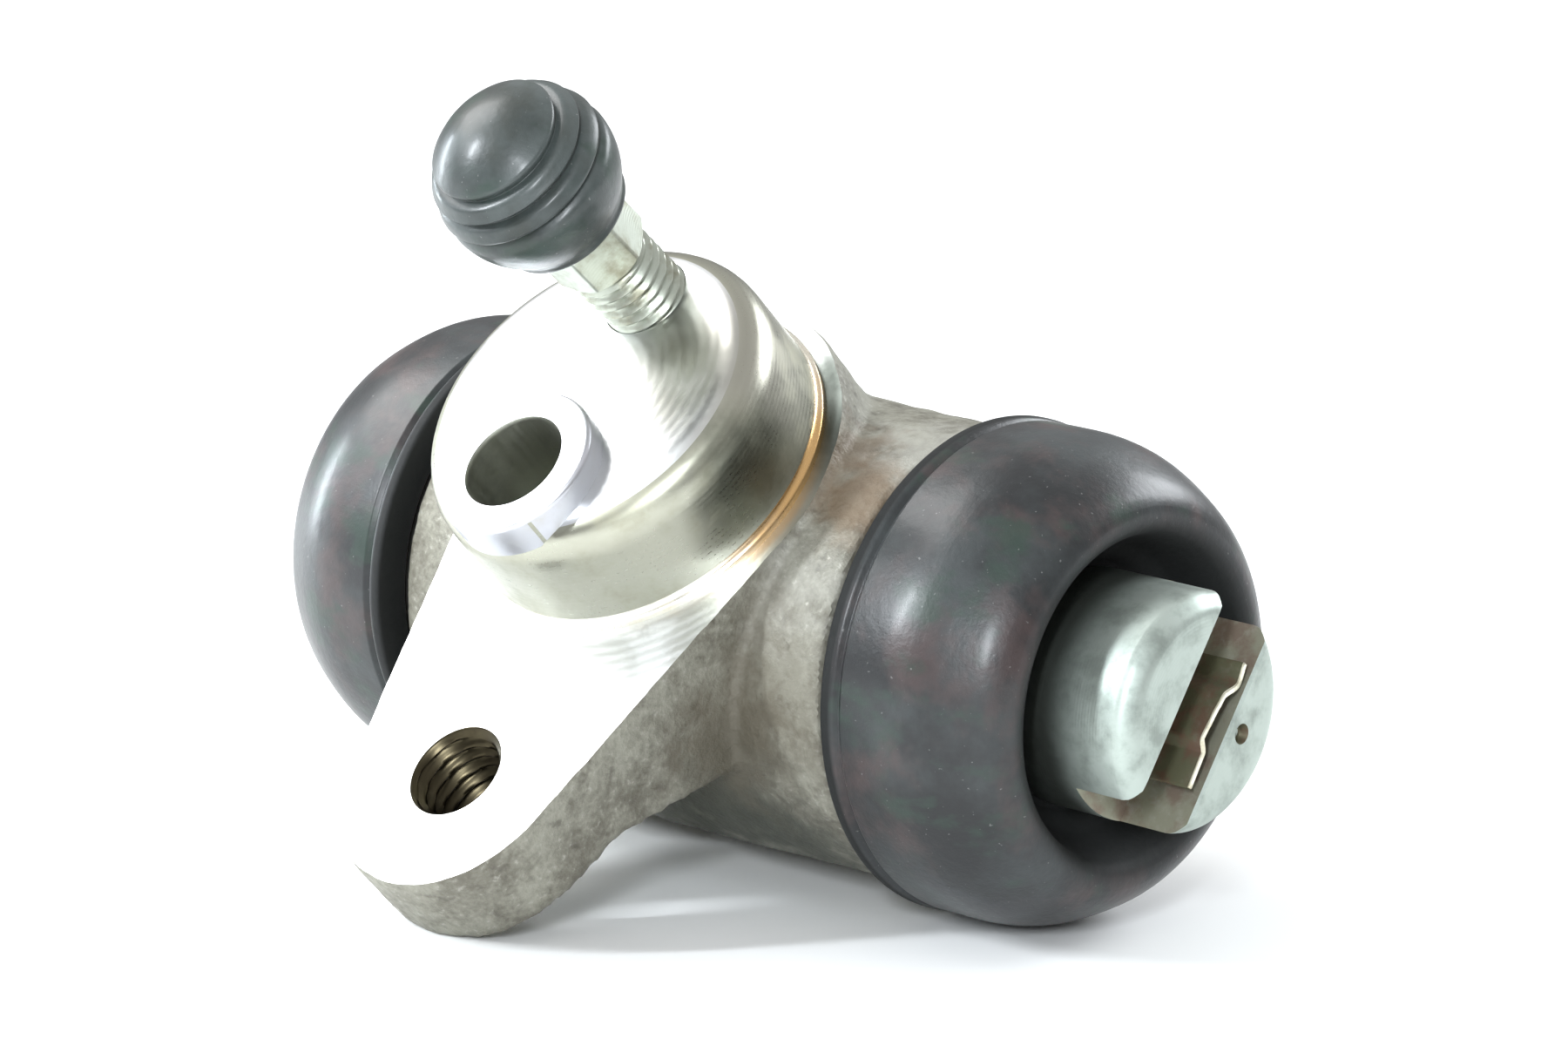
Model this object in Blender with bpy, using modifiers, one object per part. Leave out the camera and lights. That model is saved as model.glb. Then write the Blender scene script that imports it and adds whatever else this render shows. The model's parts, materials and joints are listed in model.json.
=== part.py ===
"""Drum brake wheel cylinder: a cast body with a round boss, a bleeder and two slotted pistons.

The casting frame has X along the bore, Z out of the boss and the ear towards -Y. The whole part is
then leaned about X, so that it rests on its two rubber boots and the tip of its ear.
"""

import math

import bmesh
import bpy
from mathutils import Matrix, Vector

MM = 0.001

# Clearances
RUNNING_GAP = 0.10 * MM
SEAT_GAP = 0.30 * MM
SINK = 1.0 * MM
OVERRUN = 1.0 * MM

# Barrel, bored through along X
BORE_RADIUS = 11.1 * MM
BORE_CHAMFER = 0.6 * MM
BARREL_MIDDLE_RADIUS = 18.3 * MM
BARREL_END_RADIUS = 17.8 * MM
BARREL_HALF_LENGTH = 29.0 * MM
COLLAR_EDGE = 0.5 * MM
BOOT_GROOVE_INSET = 6.4 * MM
BOOT_GROOVE_WIDTH = 3.8 * MM
BOOT_GROOVE_RADIUS = 15.9 * MM
END_FLANGE_RADIUS = 17.1 * MM
END_FLANGE_CHAMFER = 0.5 * MM

# Mounting pad: a pear outline round the boss and the ear's hole
FACE_HEIGHT = 18.4 * MM
PAD_RADIUS = 16.8 * MM
PAD_EDGE = 0.6 * MM
PAD_BOTTOM = 1.0 * MM
EAR_HOLE_OFFSET = 28.8 * MM
EAR_TIP_RADIUS = 10.4 * MM
EAR_THICKNESS = 7.5 * MM
EAR_UNDERSIDE_LENGTH = 12.0 * MM
EAR_TIP_FLAT = 0.8 * MM
GUSSET_FOOT_HEIGHT = 5.9 * MM
EAR_HOLE_RADIUS = 3.45 * MM
EAR_HOLE_CHAMFER = 0.5 * MM

# Boss that passes through the backing plate
BOSS_HEIGHT = 10.3 * MM
BOSS_RADIUS = 14.7 * MM
BOSS_DRAFT = 0.2 * MM
BOSS_FILLET = 2.2 * MM
BOSS_FOOT_RADIUS = 15.3 * MM
BOSS_FOOT_HEIGHT = 0.5 * MM

# Inlet port with its raised sealing ring
PORT_OFFSET = 8.5 * MM
PORT_RING_RADIUS = 6.6 * MM
PORT_RING_HEIGHT = 2.1 * MM
PORT_RING_EDGE = 0.3 * MM
PORT_RADIUS = 4.1 * MM
PORT_DEPTH = 14.0 * MM
PORT_CONE = 2.0 * MM
PORT_PASSAGE_RADIUS = 1.6 * MM

# Bleeder, measured along its own axis from the boss top
BLEEDER_OFFSET = 9.0 * MM
BLEEDER_TILT = math.radians(5.0)
BLEEDER_HOLE_DEPTH = 8.2 * MM
BLEEDER_SEAT_CONE = 2.2 * MM
BLEED_PASSAGE_RADIUS = 1.1 * MM
BLEEDER_THREAD_RADIUS = 3.3 * MM
BLEEDER_RELIEF_RADIUS = 2.5 * MM
BLEEDER_RELIEF_LENGTH = 1.5 * MM
BLEEDER_BORE_RADIUS = 0.9 * MM
BLEEDER_CROSS_RADIUS = 0.55 * MM
HEX_BOTTOM = 5.9 * MM
HEX_HEIGHT = 5.1 * MM
HEX_ACROSS_FLATS = 7.0 * MM
NIPPLE_NECK_RADIUS = 2.3 * MM
NIPPLE_NECK_LENGTH = 2.6 * MM
NIPPLE_BARB_RADIUS = 3.1 * MM
NIPPLE_BARB_LENGTH = 1.0 * MM
NIPPLE_TIP_RADIUS = 2.1 * MM
NIPPLE_LENGTH = 8.6 * MM

# Rubber cap over the bleeder's nipple
CAP_CENTRE = 16.75 * MM
CAP_RADIUS = 7.1 * MM
CAP_BASE_RADIUS = 5.5 * MM
CAP_RING_STEP = 0.55 * MM
CAP_RING_LATITUDES = (40.0, 23.5, 7.5)
CAP_RING_WIDTH = 2.5
CAP_ARC_STEP = 12

# Pistons, cups, expanders and return spring
PISTON_HEAD_INSET = 11.5 * MM
PISTON_HEAD_LENGTH = 12.6 * MM
PISTON_HEAD_CHAMFER = 0.5 * MM
PISTON_NOSE_RADIUS = 9.2 * MM
PISTON_GROOVE_WIDTH = 3.1 * MM
PISTON_GROOVE_RADIUS = 8.0 * MM
PISTON_REACH = 16.3 * MM
PISTON_END_CHAMFER = 0.7 * MM
SLOT_WIDTH = 6.4 * MM
SLOT_DEPTH = 6.1 * MM
SLOT_TURN = {"right": math.radians(11.3), "left": math.radians(-4.0)}
DIMPLE_RADIUS = 0.9 * MM
DIMPLE_OFFSET = 5.6 * MM
CUP_LENGTH = 5.0 * MM
CUP_FLOOR = 2.3 * MM
CUP_LIP = 1.3 * MM
CUP_FLOOR_RADIUS = 8.9 * MM
EXPANDER_RIM_RADIUS = 8.2 * MM
EXPANDER_SEAT_RADIUS = 5.6 * MM
EXPANDER_HEIGHT = 2.6 * MM
EXPANDER_SHEET = 0.7 * MM
EXPANDER_PILOT_RADIUS = 3.2 * MM
EXPANDER_PILOT_HEIGHT = 2.0 * MM
SPRING_WIRE_RADIUS = 0.5 * MM
SPRING_RADIUS = 4.4 * MM
SPRING_TURNS = 6
SPRING_STEPS = 14

# Rubber boots, placed inside or beyond the barrel's ends
BOOT_LIP_INSET = 5.0 * MM
BOOT_LIP_RADIUS = 19.25 * MM
BOOT_LIP_WIDTH = 1.35 * MM
BOOT_LINE_DEPTH = 0.35 * MM
BOOT_DOME_RADIUS = 19.1 * MM
BOOT_DOME_OVERHANG = 1.0 * MM
BOOT_CREST_OVERHANG = 9.9 * MM
BOOT_CREST_RADIUS = 14.0 * MM
BOOT_TROUGH_OVERHANG = 4.9 * MM
BOOT_TROUGH_RADIUS = 10.9 * MM
BOOT_WALL = 1.4 * MM
BOOT_INNER_LIP_WIDTH = 1.9 * MM

# Leaf spring in each piston slot
LEAF_THICKNESS = 0.6 * MM
LEAF_LENGTH = 10.5 * MM
LEAF_BOW = 1.3 * MM
LEAF_RECESS = 0.3 * MM
LEAF_STEPS = 12

# Facets round the turned shapes
SEGMENTS = 64
FINE_SEGMENTS = 40
SMALL_SEGMENTS = 28
SHARP_ANGLE = math.radians(32)

BOSS_TOP = FACE_HEIGHT + BOSS_HEIGHT
PORT_TOP = BOSS_TOP + PORT_RING_HEIGHT

# Places along the bore, from its middle, that follow the barrel's ends
BOOT_GROOVE_START = BARREL_HALF_LENGTH - BOOT_GROOVE_INSET
BOOT_LIP_START = BARREL_HALF_LENGTH - BOOT_LIP_INSET
BOOT_DOME_START = BARREL_HALF_LENGTH + BOOT_DOME_OVERHANG
BOOT_CREST = BARREL_HALF_LENGTH + BOOT_CREST_OVERHANG
BOOT_TROUGH = BARREL_HALF_LENGTH + BOOT_TROUGH_OVERHANG
PISTON_HEAD_START = BARREL_HALF_LENGTH - PISTON_HEAD_INSET
PISTON_END = BARREL_HALF_LENGTH + PISTON_REACH


class Shop:
    """The collections that hold the pieces and the cutters."""

    parts = None
    cutters = None


def clear_scene():
    for old in list(bpy.data.objects):
        bpy.data.objects.remove(old, do_unlink=True)


def new_collection(name):
    made = bpy.data.collections.new(name)
    bpy.context.scene.collection.children.link(made)
    return made


def finish_material(name, colour, roughness, metallic):
    made = bpy.data.materials.new(name)
    made.use_nodes = True
    shader = made.node_tree.nodes["Principled BSDF"]
    shader.inputs["Base Color"].default_value = (*colour, 1.0)
    shader.inputs["Roughness"].default_value = roughness
    shader.inputs["Metallic"].default_value = metallic
    made.diffuse_color = (*colour, 1.0)
    return made


def new_empty(name, parent=None, location=(0.0, 0.0, 0.0), rotation=(0.0, 0.0, 0.0)):
    made = bpy.data.objects.new(name, None)
    made.empty_display_size = 5 * MM
    Shop.parts.objects.link(made)
    made.parent = parent
    made.location = location
    made.rotation_euler = rotation
    return made


def place(made, parent, cutter):
    """Links an object to its collection and hangs it on its parent."""
    (Shop.cutters if cutter else Shop.parts).objects.link(made)
    made.parent = parent
    if cutter:
        made.hide_render = True
        made.display_type = "WIRE"
    return made


def arc(centre, radius, start, end, steps):
    """Points on an arc, both ends included, with angles in degrees from the profile's radial axis."""
    points = []
    for i in range(steps + 1):
        angle = math.radians(start + (end - start) * i / steps)
        points.append((centre[0] + radius * math.cos(angle), centre[1] + radius * math.sin(angle)))
    return points


def turned(name, profile, parent, segments=SEGMENTS, cutter=False, closed=False):
    """A profile of (radius, height) points turned about the local Z axis.

    The outer side runs from top to bottom. A closed profile makes a ring that leaves its axis open.
    """
    mesh = bpy.data.meshes.new(name)
    edges = [(i, i + 1) for i in range(len(profile) - 1)]
    if closed:
        edges.append((len(profile) - 1, 0))
    mesh.from_pydata([(r, 0.0, z) for r, z in profile], edges, [])
    made = place(bpy.data.objects.new(name, mesh), parent, cutter)
    screw = made.modifiers.new("Turn", "SCREW")
    screw.axis = "Z"
    screw.steps = segments
    screw.render_steps = segments
    screw.use_merge_vertices = True
    screw.merge_threshold = 0.01 * MM
    screw.use_smooth_shade = True
    return made


def flat_mesh(name, outline, half_depth, edge=0.0):
    """A mesh of a flat outline in the XY plane, as thick as twice half_depth, its rim rounded by edge."""
    curve = bpy.data.curves.new(name, "CURVE")
    curve.dimensions = "2D"
    curve.fill_mode = "BOTH"
    curve.extrude = half_depth - edge
    curve.bevel_depth = edge
    curve.bevel_resolution = 1
    curve.offset = -edge
    spline = curve.splines.new("POLY")
    spline.points.add(len(outline) - 1)
    for point, (x, y) in zip(spline.points, outline):
        point.co = (x, y, 0.0, 1.0)
    spline.use_cyclic_u = True
    carrier = bpy.data.objects.new(name, curve)
    Shop.parts.objects.link(carrier)
    mesh = mesh_of(carrier)
    bpy.data.objects.remove(carrier, do_unlink=True)
    return mesh


def mesh_of(made):
    """The evaluated mesh of an object, with its loose caps welded."""
    bpy.context.view_layer.update()
    graph = bpy.context.evaluated_depsgraph_get()
    mesh = bpy.data.meshes.new_from_object(made.evaluated_get(graph))
    work = bmesh.new()
    work.from_mesh(mesh)
    bmesh.ops.remove_doubles(work, verts=work.verts, dist=0.005 * MM)
    bmesh.ops.recalc_face_normals(work, faces=work.faces)
    work.to_mesh(mesh)
    work.free()
    return mesh


def drill(name, start, end, radius, parent):
    """A round cutter from one point to another."""
    mesh = bpy.data.meshes.new(name)
    work = bmesh.new()
    along = Vector(end) - Vector(start)
    bmesh.ops.create_cone(work, cap_ends=True, segments=SMALL_SEGMENTS // 2,
                          radius1=radius, radius2=radius, depth=along.length)
    turn = along.to_track_quat("Z", "Y").to_matrix().to_4x4()
    middle = (Vector(start) + Vector(end)) / 2
    bmesh.ops.transform(work, matrix=Matrix.Translation(middle) @ turn, verts=work.verts)
    work.to_mesh(mesh)
    work.free()
    return place(bpy.data.objects.new(name, mesh), parent, True)


def block(name, size, centre, parent):
    """A box cutter."""
    mesh = bpy.data.meshes.new(name)
    work = bmesh.new()
    bmesh.ops.create_cube(work, size=1.0)
    bmesh.ops.scale(work, vec=size, verts=work.verts)
    bmesh.ops.translate(work, vec=centre, verts=work.verts)
    work.to_mesh(mesh)
    work.free()
    return place(bpy.data.objects.new(name, mesh), parent, True)


def combine(made, other, operation):
    step = made.modifiers.new(other.name, "BOOLEAN")
    step.operation = operation
    step.solver = "EXACT"
    step.object = other


def pear_outline():
    """The pad's outline: a circle round the boss joined by tangents to a circle round the ear's hole."""
    spread = math.asin((PAD_RADIUS - EAR_TIP_RADIUS) / EAR_HOLE_OFFSET)
    lean = math.degrees(spread)
    round_boss = arc((0.0, 0.0), PAD_RADIUS, -lean, 180 + lean, 36)
    round_tip = arc((0.0, -EAR_HOLE_OFFSET), EAR_TIP_RADIUS, 180 + lean, 360 - lean, 18)
    return round_boss + round_tip


def barrel_profile():
    """Half of the barrel's outline, from one end to the other, about the bore axis."""
    groove_end = BOOT_GROOVE_START + BOOT_GROOVE_WIDTH
    half = [
        (END_FLANGE_RADIUS - END_FLANGE_CHAMFER, BARREL_HALF_LENGTH),
        (END_FLANGE_RADIUS, BARREL_HALF_LENGTH - END_FLANGE_CHAMFER),
        (END_FLANGE_RADIUS, groove_end),
        (BOOT_GROOVE_RADIUS, groove_end),
        (BOOT_GROOVE_RADIUS, BOOT_GROOVE_START),
        (BARREL_END_RADIUS - COLLAR_EDGE, BOOT_GROOVE_START),
        (BARREL_END_RADIUS, BOOT_GROOVE_START - COLLAR_EDGE),
        (BARREL_MIDDLE_RADIUS, 0.0),
    ]
    other_half = [(r, -x) for r, x in reversed(half[:-1])]
    return [(0.0, BARREL_HALF_LENGTH)] + half + other_half + [(0.0, -BARREL_HALF_LENGTH)]


def boss_profile():
    top = BOSS_TOP
    fillet = arc((BOSS_RADIUS - BOSS_FILLET, top - BOSS_FILLET), BOSS_FILLET, 90, 0, 6)
    foot = FACE_HEIGHT + BOSS_FOOT_HEIGHT
    return [(0.0, top)] + fillet + [
        (BOSS_RADIUS + BOSS_DRAFT, foot + BOSS_FOOT_HEIGHT),
        (BOSS_FOOT_RADIUS, foot),
        (BOSS_FOOT_RADIUS, FACE_HEIGHT - SINK),
        (0.0, FACE_HEIGHT - SINK),
    ]


def port_ring_profile():
    return [
        (0.0, PORT_TOP),
        (PORT_RING_RADIUS - PORT_RING_EDGE, PORT_TOP),
        (PORT_RING_RADIUS, PORT_TOP - PORT_RING_EDGE),
        (PORT_RING_RADIUS, BOSS_TOP - SINK),
        (0.0, BOSS_TOP - SINK),
    ]


def bored_hole(top, radius, depth, cone, passage, bottom, mouth):
    """The profile of a stepped hole: a chamfered mouth, a bore, a cone and a narrow passage."""
    return [
        (0.0, top + OVERRUN),
        (radius + mouth + OVERRUN, top + OVERRUN),
        (radius, top - mouth),
        (radius, top - depth),
        (passage, top - depth - cone),
        (passage, bottom),
        (0.0, bottom),
    ]


def make_body(frame, metal):
    """The casting: barrel, pad, boss and sealing ring, with every hole cut through them."""
    along_bore = new_empty("bore_axis", frame, rotation=(0.0, math.pi / 2, 0.0))
    body = turned("cylinder_body", barrel_profile(), along_bore)
    body.data.materials.append(metal)

    half_height = (FACE_HEIGHT - PAD_BOTTOM) / 2
    pad = place(bpy.data.objects.new("pad", flat_mesh("pad", pear_outline(), half_height, PAD_EDGE)),
                frame, True)
    pad.location.z = PAD_BOTTOM + half_height

    plate_bottom = FACE_HEIGHT - EAR_THICKNESS
    underside_end = -(EAR_HOLE_OFFSET + EAR_TIP_RADIUS)
    underside_start = underside_end + EAR_UNDERSIDE_LENGTH
    reach = math.sqrt(BARREL_END_RADIUS ** 2 - GUSSET_FOOT_HEIGHT ** 2) - COLLAR_EDGE
    below = PAD_BOTTOM - OVERRUN
    outline = [
        (underside_end + EAR_TIP_FLAT, plate_bottom),
        (underside_end - OVERRUN, plate_bottom + EAR_TIP_FLAT + OVERRUN),
        (underside_end - OVERRUN, below),
        (-reach, below),
        (-reach, GUSSET_FOOT_HEIGHT),
        (underside_start, plate_bottom),
    ]
    underside = place(
        bpy.data.objects.new("ear_underside", flat_mesh("ear_underside", outline, BARREL_HALF_LENGTH)),
        frame, True)
    underside.matrix_local = Matrix(((0, 0, 1, 0), (1, 0, 0, 0), (0, 1, 0, 0), (0, 0, 0, 1)))
    combine(pad, underside, "DIFFERENCE")

    boss = turned("boss", boss_profile(), frame, cutter=True)
    ring = turned("port_ring", port_ring_profile(), frame, FINE_SEGMENTS, cutter=True)
    ring.location.y = -PORT_OFFSET

    bore = turned("bore", [
        (0.0, BARREL_HALF_LENGTH + OVERRUN),
        (BORE_RADIUS + BORE_CHAMFER + OVERRUN, BARREL_HALF_LENGTH + OVERRUN),
        (BORE_RADIUS, BARREL_HALF_LENGTH - BORE_CHAMFER),
        (BORE_RADIUS, -BARREL_HALF_LENGTH + BORE_CHAMFER),
        (BORE_RADIUS + BORE_CHAMFER + OVERRUN, -BARREL_HALF_LENGTH - OVERRUN),
        (0.0, -BARREL_HALF_LENGTH - OVERRUN),
    ], along_bore, cutter=True)

    port_meets_bore = math.sqrt(BORE_RADIUS ** 2 - PORT_OFFSET ** 2)
    port = turned("inlet_port", bored_hole(
        PORT_TOP, PORT_RADIUS, PORT_DEPTH, PORT_CONE, PORT_PASSAGE_RADIUS,
        port_meets_bore - 2 * PORT_PASSAGE_RADIUS, PORT_RING_EDGE), frame, SMALL_SEGMENTS, cutter=True)
    port.location.y = -PORT_OFFSET

    ear_hole = turned("ear_hole", [
        (0.0, FACE_HEIGHT + OVERRUN),
        (EAR_HOLE_RADIUS + EAR_HOLE_CHAMFER + OVERRUN, FACE_HEIGHT + OVERRUN),
        (EAR_HOLE_RADIUS, FACE_HEIGHT - EAR_HOLE_CHAMFER),
        (EAR_HOLE_RADIUS, plate_bottom + EAR_HOLE_CHAMFER),
        (EAR_HOLE_RADIUS + EAR_HOLE_CHAMFER + OVERRUN, plate_bottom - OVERRUN),
        (0.0, plate_bottom - OVERRUN),
    ], frame, SMALL_SEGMENTS, cutter=True)
    ear_hole.location.y = -EAR_HOLE_OFFSET

    hole_radius = BLEEDER_THREAD_RADIUS + RUNNING_GAP
    tapped = turned("bleeder_hole", [
        (0.0, OVERRUN),
        (hole_radius, OVERRUN),
        (hole_radius, -BLEEDER_HOLE_DEPTH),
        (0.0, -BLEEDER_HOLE_DEPTH - BLEEDER_SEAT_CONE),
    ], bleeder_frame(frame), SMALL_SEGMENTS, cutter=True)
    seat = seat_point(BLEEDER_HOLE_DEPTH)
    into_bore = seat * ((BORE_RADIUS - OVERRUN) / seat.length)
    passage = drill("bleed_passage", seat, into_bore, BLEED_PASSAGE_RADIUS, frame)

    for other in (pad, boss, ring):
        combine(body, other, "UNION")
    for other in (bore, port, ear_hole, tapped, passage):
        combine(body, other, "DIFFERENCE")
    return body


def bleeder_frame(frame):
    """An empty on the boss top, with its Z along the bleeder."""
    found = bpy.data.objects.get("bleeder_axis")
    if found:
        return found
    return new_empty("bleeder_axis", frame, (0.0, BLEEDER_OFFSET, BOSS_TOP), (BLEEDER_TILT, 0.0, 0.0))


def seat_point(depth):
    """The point on the bleeder's axis at a depth below the boss top, in the casting frame."""
    return Vector((0.0, BLEEDER_OFFSET + depth * math.sin(BLEEDER_TILT),
                   BOSS_TOP - depth * math.cos(BLEEDER_TILT)))


def make_bleeder(frame, zinc):
    """The hollow bleeder screw: cone seat, thread, hexagon and hose nipple."""
    axis = bleeder_frame(frame)
    slope = BLEEDER_SEAT_CONE / (BLEEDER_THREAD_RADIUS + RUNNING_GAP)
    relief_end = -BLEEDER_HOLE_DEPTH + SEAT_GAP
    relief_start = relief_end + BLEEDER_RELIEF_LENGTH
    tip_radius = 2 * BLEEDER_BORE_RADIUS
    tip = relief_end - (BLEEDER_RELIEF_RADIUS - tip_radius) * slope
    hex_top = HEX_BOTTOM + HEX_HEIGHT
    barb = hex_top + NIPPLE_NECK_LENGTH
    screw = turned("bleeder_screw", [
        (0.0, hex_top + NIPPLE_LENGTH),
        (NIPPLE_TIP_RADIUS, hex_top + NIPPLE_LENGTH),
        (NIPPLE_BARB_RADIUS, barb + NIPPLE_BARB_LENGTH),
        (NIPPLE_BARB_RADIUS, barb),
        (NIPPLE_NECK_RADIUS, barb),
        (NIPPLE_NECK_RADIUS, hex_top - SINK),
        (BLEEDER_THREAD_RADIUS, hex_top - SINK),
        (BLEEDER_THREAD_RADIUS, relief_start + SINK / 2),
        (BLEEDER_RELIEF_RADIUS, relief_start),
        (BLEEDER_RELIEF_RADIUS, relief_end),
        (tip_radius, tip),
        (0.0, tip),
    ], axis, SMALL_SEGMENTS)
    screw.data.materials.append(zinc)

    mesh = bpy.data.meshes.new("hexagon")
    work = bmesh.new()
    corner = HEX_ACROSS_FLATS / 2 / math.cos(math.pi / 6)
    bmesh.ops.create_cone(work, cap_ends=True, segments=6, radius1=corner, radius2=corner, depth=HEX_HEIGHT)
    bmesh.ops.translate(work, vec=(0.0, 0.0, HEX_BOTTOM + HEX_HEIGHT / 2), verts=work.verts)
    work.to_mesh(mesh)
    work.free()
    hexagon = place(bpy.data.objects.new("hexagon", mesh), axis, True)
    round_off = turned("hexagon_round", [
        (0.0, hex_top + OVERRUN),
        (HEX_ACROSS_FLATS / 2 - OVERRUN, hex_top + OVERRUN),
        (corner, hex_top - OVERRUN / 2),
        (corner, HEX_BOTTOM + OVERRUN / 2),
        (HEX_ACROSS_FLATS / 2 - OVERRUN, HEX_BOTTOM - OVERRUN),
        (0.0, HEX_BOTTOM - OVERRUN),
    ], axis, SMALL_SEGMENTS, cutter=True)
    combine(hexagon, round_off, "INTERSECT")
    combine(screw, hexagon, "UNION")

    cross = relief_end + BLEEDER_RELIEF_LENGTH / 2
    along = turned("bleeder_bore", [
        (0.0, hex_top + NIPPLE_LENGTH + OVERRUN),
        (BLEEDER_BORE_RADIUS, hex_top + NIPPLE_LENGTH + OVERRUN),
        (BLEEDER_BORE_RADIUS, cross),
        (0.0, cross - BLEEDER_BORE_RADIUS / 2),
    ], axis, SMALL_SEGMENTS // 2, cutter=True)
    combine(screw, along, "DIFFERENCE")
    reach = BLEEDER_RELIEF_RADIUS + OVERRUN
    across = drill("bleeder_cross_hole", (-reach, 0.0, cross), (reach, 0.0, cross), BLEEDER_CROSS_RADIUS, axis)
    combine(screw, across, "DIFFERENCE")
    return screw


def make_dust_cap(frame, rubber):
    """The ringed rubber cap, hollow to fit over the nipple and its barb."""
    hex_top = HEX_BOTTOM + HEX_HEIGHT
    base = hex_top + SEAT_GAP
    outer = [(0.0, CAP_CENTRE + CAP_RADIUS)]
    start = 90.0
    for latitude in CAP_RING_LATITUDES:
        steps = max(1, round((start - latitude) / CAP_ARC_STEP))
        outer += arc((0.0, CAP_CENTRE), CAP_RADIUS, start, latitude, steps)[1:]
        inset = CAP_RADIUS - CAP_RING_STEP
        outer.append(arc((0.0, CAP_CENTRE), inset, latitude, latitude, 1)[0])
        start = latitude - CAP_RING_WIDTH
        outer.append(arc((0.0, CAP_CENTRE), CAP_RADIUS, start, start, 1)[0])
    base_angle = -math.degrees(math.acos(CAP_BASE_RADIUS / CAP_RADIUS))
    belly = [p for p in arc((0.0, CAP_CENTRE), CAP_RADIUS, start, base_angle, 4)[1:] if p[1] > base]
    outer += belly + [(CAP_BASE_RADIUS, base)]
    barb_top = hex_top + NIPPLE_NECK_LENGTH + NIPPLE_BARB_LENGTH
    roof = hex_top + NIPPLE_LENGTH + SEAT_GAP
    inner = [
        (NIPPLE_BARB_RADIUS + SEAT_GAP, base),
        (NIPPLE_BARB_RADIUS + SEAT_GAP, barb_top + SEAT_GAP),
        (NIPPLE_TIP_RADIUS + SEAT_GAP, roof),
        (0.0, roof),
    ]
    cap = turned("bleeder_dust_cap", outer + inner, bleeder_frame(frame), SMALL_SEGMENTS)
    cap.data.materials.append(rubber)
    return cap


def make_piston(side, axis, zinc):
    """A piston with its round head, boot groove and slotted nose."""
    head_radius = BORE_RADIUS - RUNNING_GAP
    head_end = PISTON_HEAD_START + PISTON_HEAD_LENGTH
    groove_end = head_end + PISTON_GROOVE_WIDTH
    piston = turned(side + "_piston", [
        (0.0, PISTON_END),
        (PISTON_NOSE_RADIUS - PISTON_END_CHAMFER, PISTON_END),
        (PISTON_NOSE_RADIUS, PISTON_END - PISTON_END_CHAMFER),
        (PISTON_NOSE_RADIUS, groove_end),
        (PISTON_GROOVE_RADIUS, groove_end),
        (PISTON_GROOVE_RADIUS, head_end),
        (head_radius - PISTON_HEAD_CHAMFER, head_end),
        (head_radius, head_end - PISTON_HEAD_CHAMFER),
        (head_radius, PISTON_HEAD_START + PISTON_HEAD_CHAMFER),
        (head_radius - PISTON_HEAD_CHAMFER, PISTON_HEAD_START),
        (0.0, PISTON_HEAD_START),
    ], axis)
    piston.data.materials.append(zinc)
    floor = PISTON_END - SLOT_DEPTH
    slot = block(side + "_slot", (SLOT_WIDTH, 2 * PISTON_NOSE_RADIUS + OVERRUN, SLOT_DEPTH + OVERRUN),
                 (0.0, 0.0, floor + (SLOT_DEPTH + OVERRUN) / 2), axis)
    combine(piston, slot, "DIFFERENCE")
    dimple = turned(side + "_dimple", [
        (0.0, PISTON_END + OVERRUN),
        (DIMPLE_RADIUS, PISTON_END + OVERRUN),
        (DIMPLE_RADIUS, PISTON_END),
        (0.0, PISTON_END - DIMPLE_RADIUS),
    ], axis, SMALL_SEGMENTS // 2, cutter=True)
    dimple.location.x = DIMPLE_OFFSET
    combine(piston, dimple, "DIFFERENCE")
    return piston


def make_leaf_spring(side, axis, steel):
    """A bowed strip that stands in the slot by one wall, its ends towards that wall."""
    wall = SLOT_WIDTH / 2 - SEAT_GAP
    ridge = []
    for i in range(LEAF_STEPS + 1):
        share = 2 * i / LEAF_STEPS - 1
        bow = LEAF_BOW * math.cos(share * math.pi / 2) ** 2
        ridge.append((wall - bow, share * LEAF_LENGTH / 2))
    outline = ridge + [(x - LEAF_THICKNESS, y) for x, y in reversed(ridge)]
    floor = PISTON_END - SLOT_DEPTH + SEAT_GAP
    top = PISTON_END - LEAF_RECESS
    mesh = flat_mesh(side + "_leaf_spring", outline, (top - floor) / 2)
    leaf = place(bpy.data.objects.new(side + "_leaf_spring", mesh), axis, False)
    leaf.location.z = (top + floor) / 2
    leaf.data.materials.append(steel)
    return leaf


def make_cup(side, axis, rubber):
    """The pressure cup, its lip towards the middle of the bore."""
    radius = BORE_RADIUS - RUNNING_GAP
    back = PISTON_HEAD_START - SEAT_GAP
    front = back - CUP_LENGTH
    cup = turned(side + "_cup", [
        (0.0, back),
        (radius - CUP_LIP / 2, back),
        (radius, back - CUP_LIP / 2),
        (radius, front),
        (radius - CUP_LIP / 2, front),
        (radius - CUP_LIP, front + CUP_LIP),
        (CUP_FLOOR_RADIUS, back - CUP_FLOOR),
        (0.0, back - CUP_FLOOR),
    ], axis, FINE_SEGMENTS)
    cup.data.materials.append(rubber)
    return cup


def expander_stack():
    """Heights of the expander's rim and of the seat for the return spring."""
    rim = PISTON_HEAD_START - SEAT_GAP - CUP_FLOOR - SEAT_GAP
    return rim, rim - EXPANDER_HEIGHT


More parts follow.
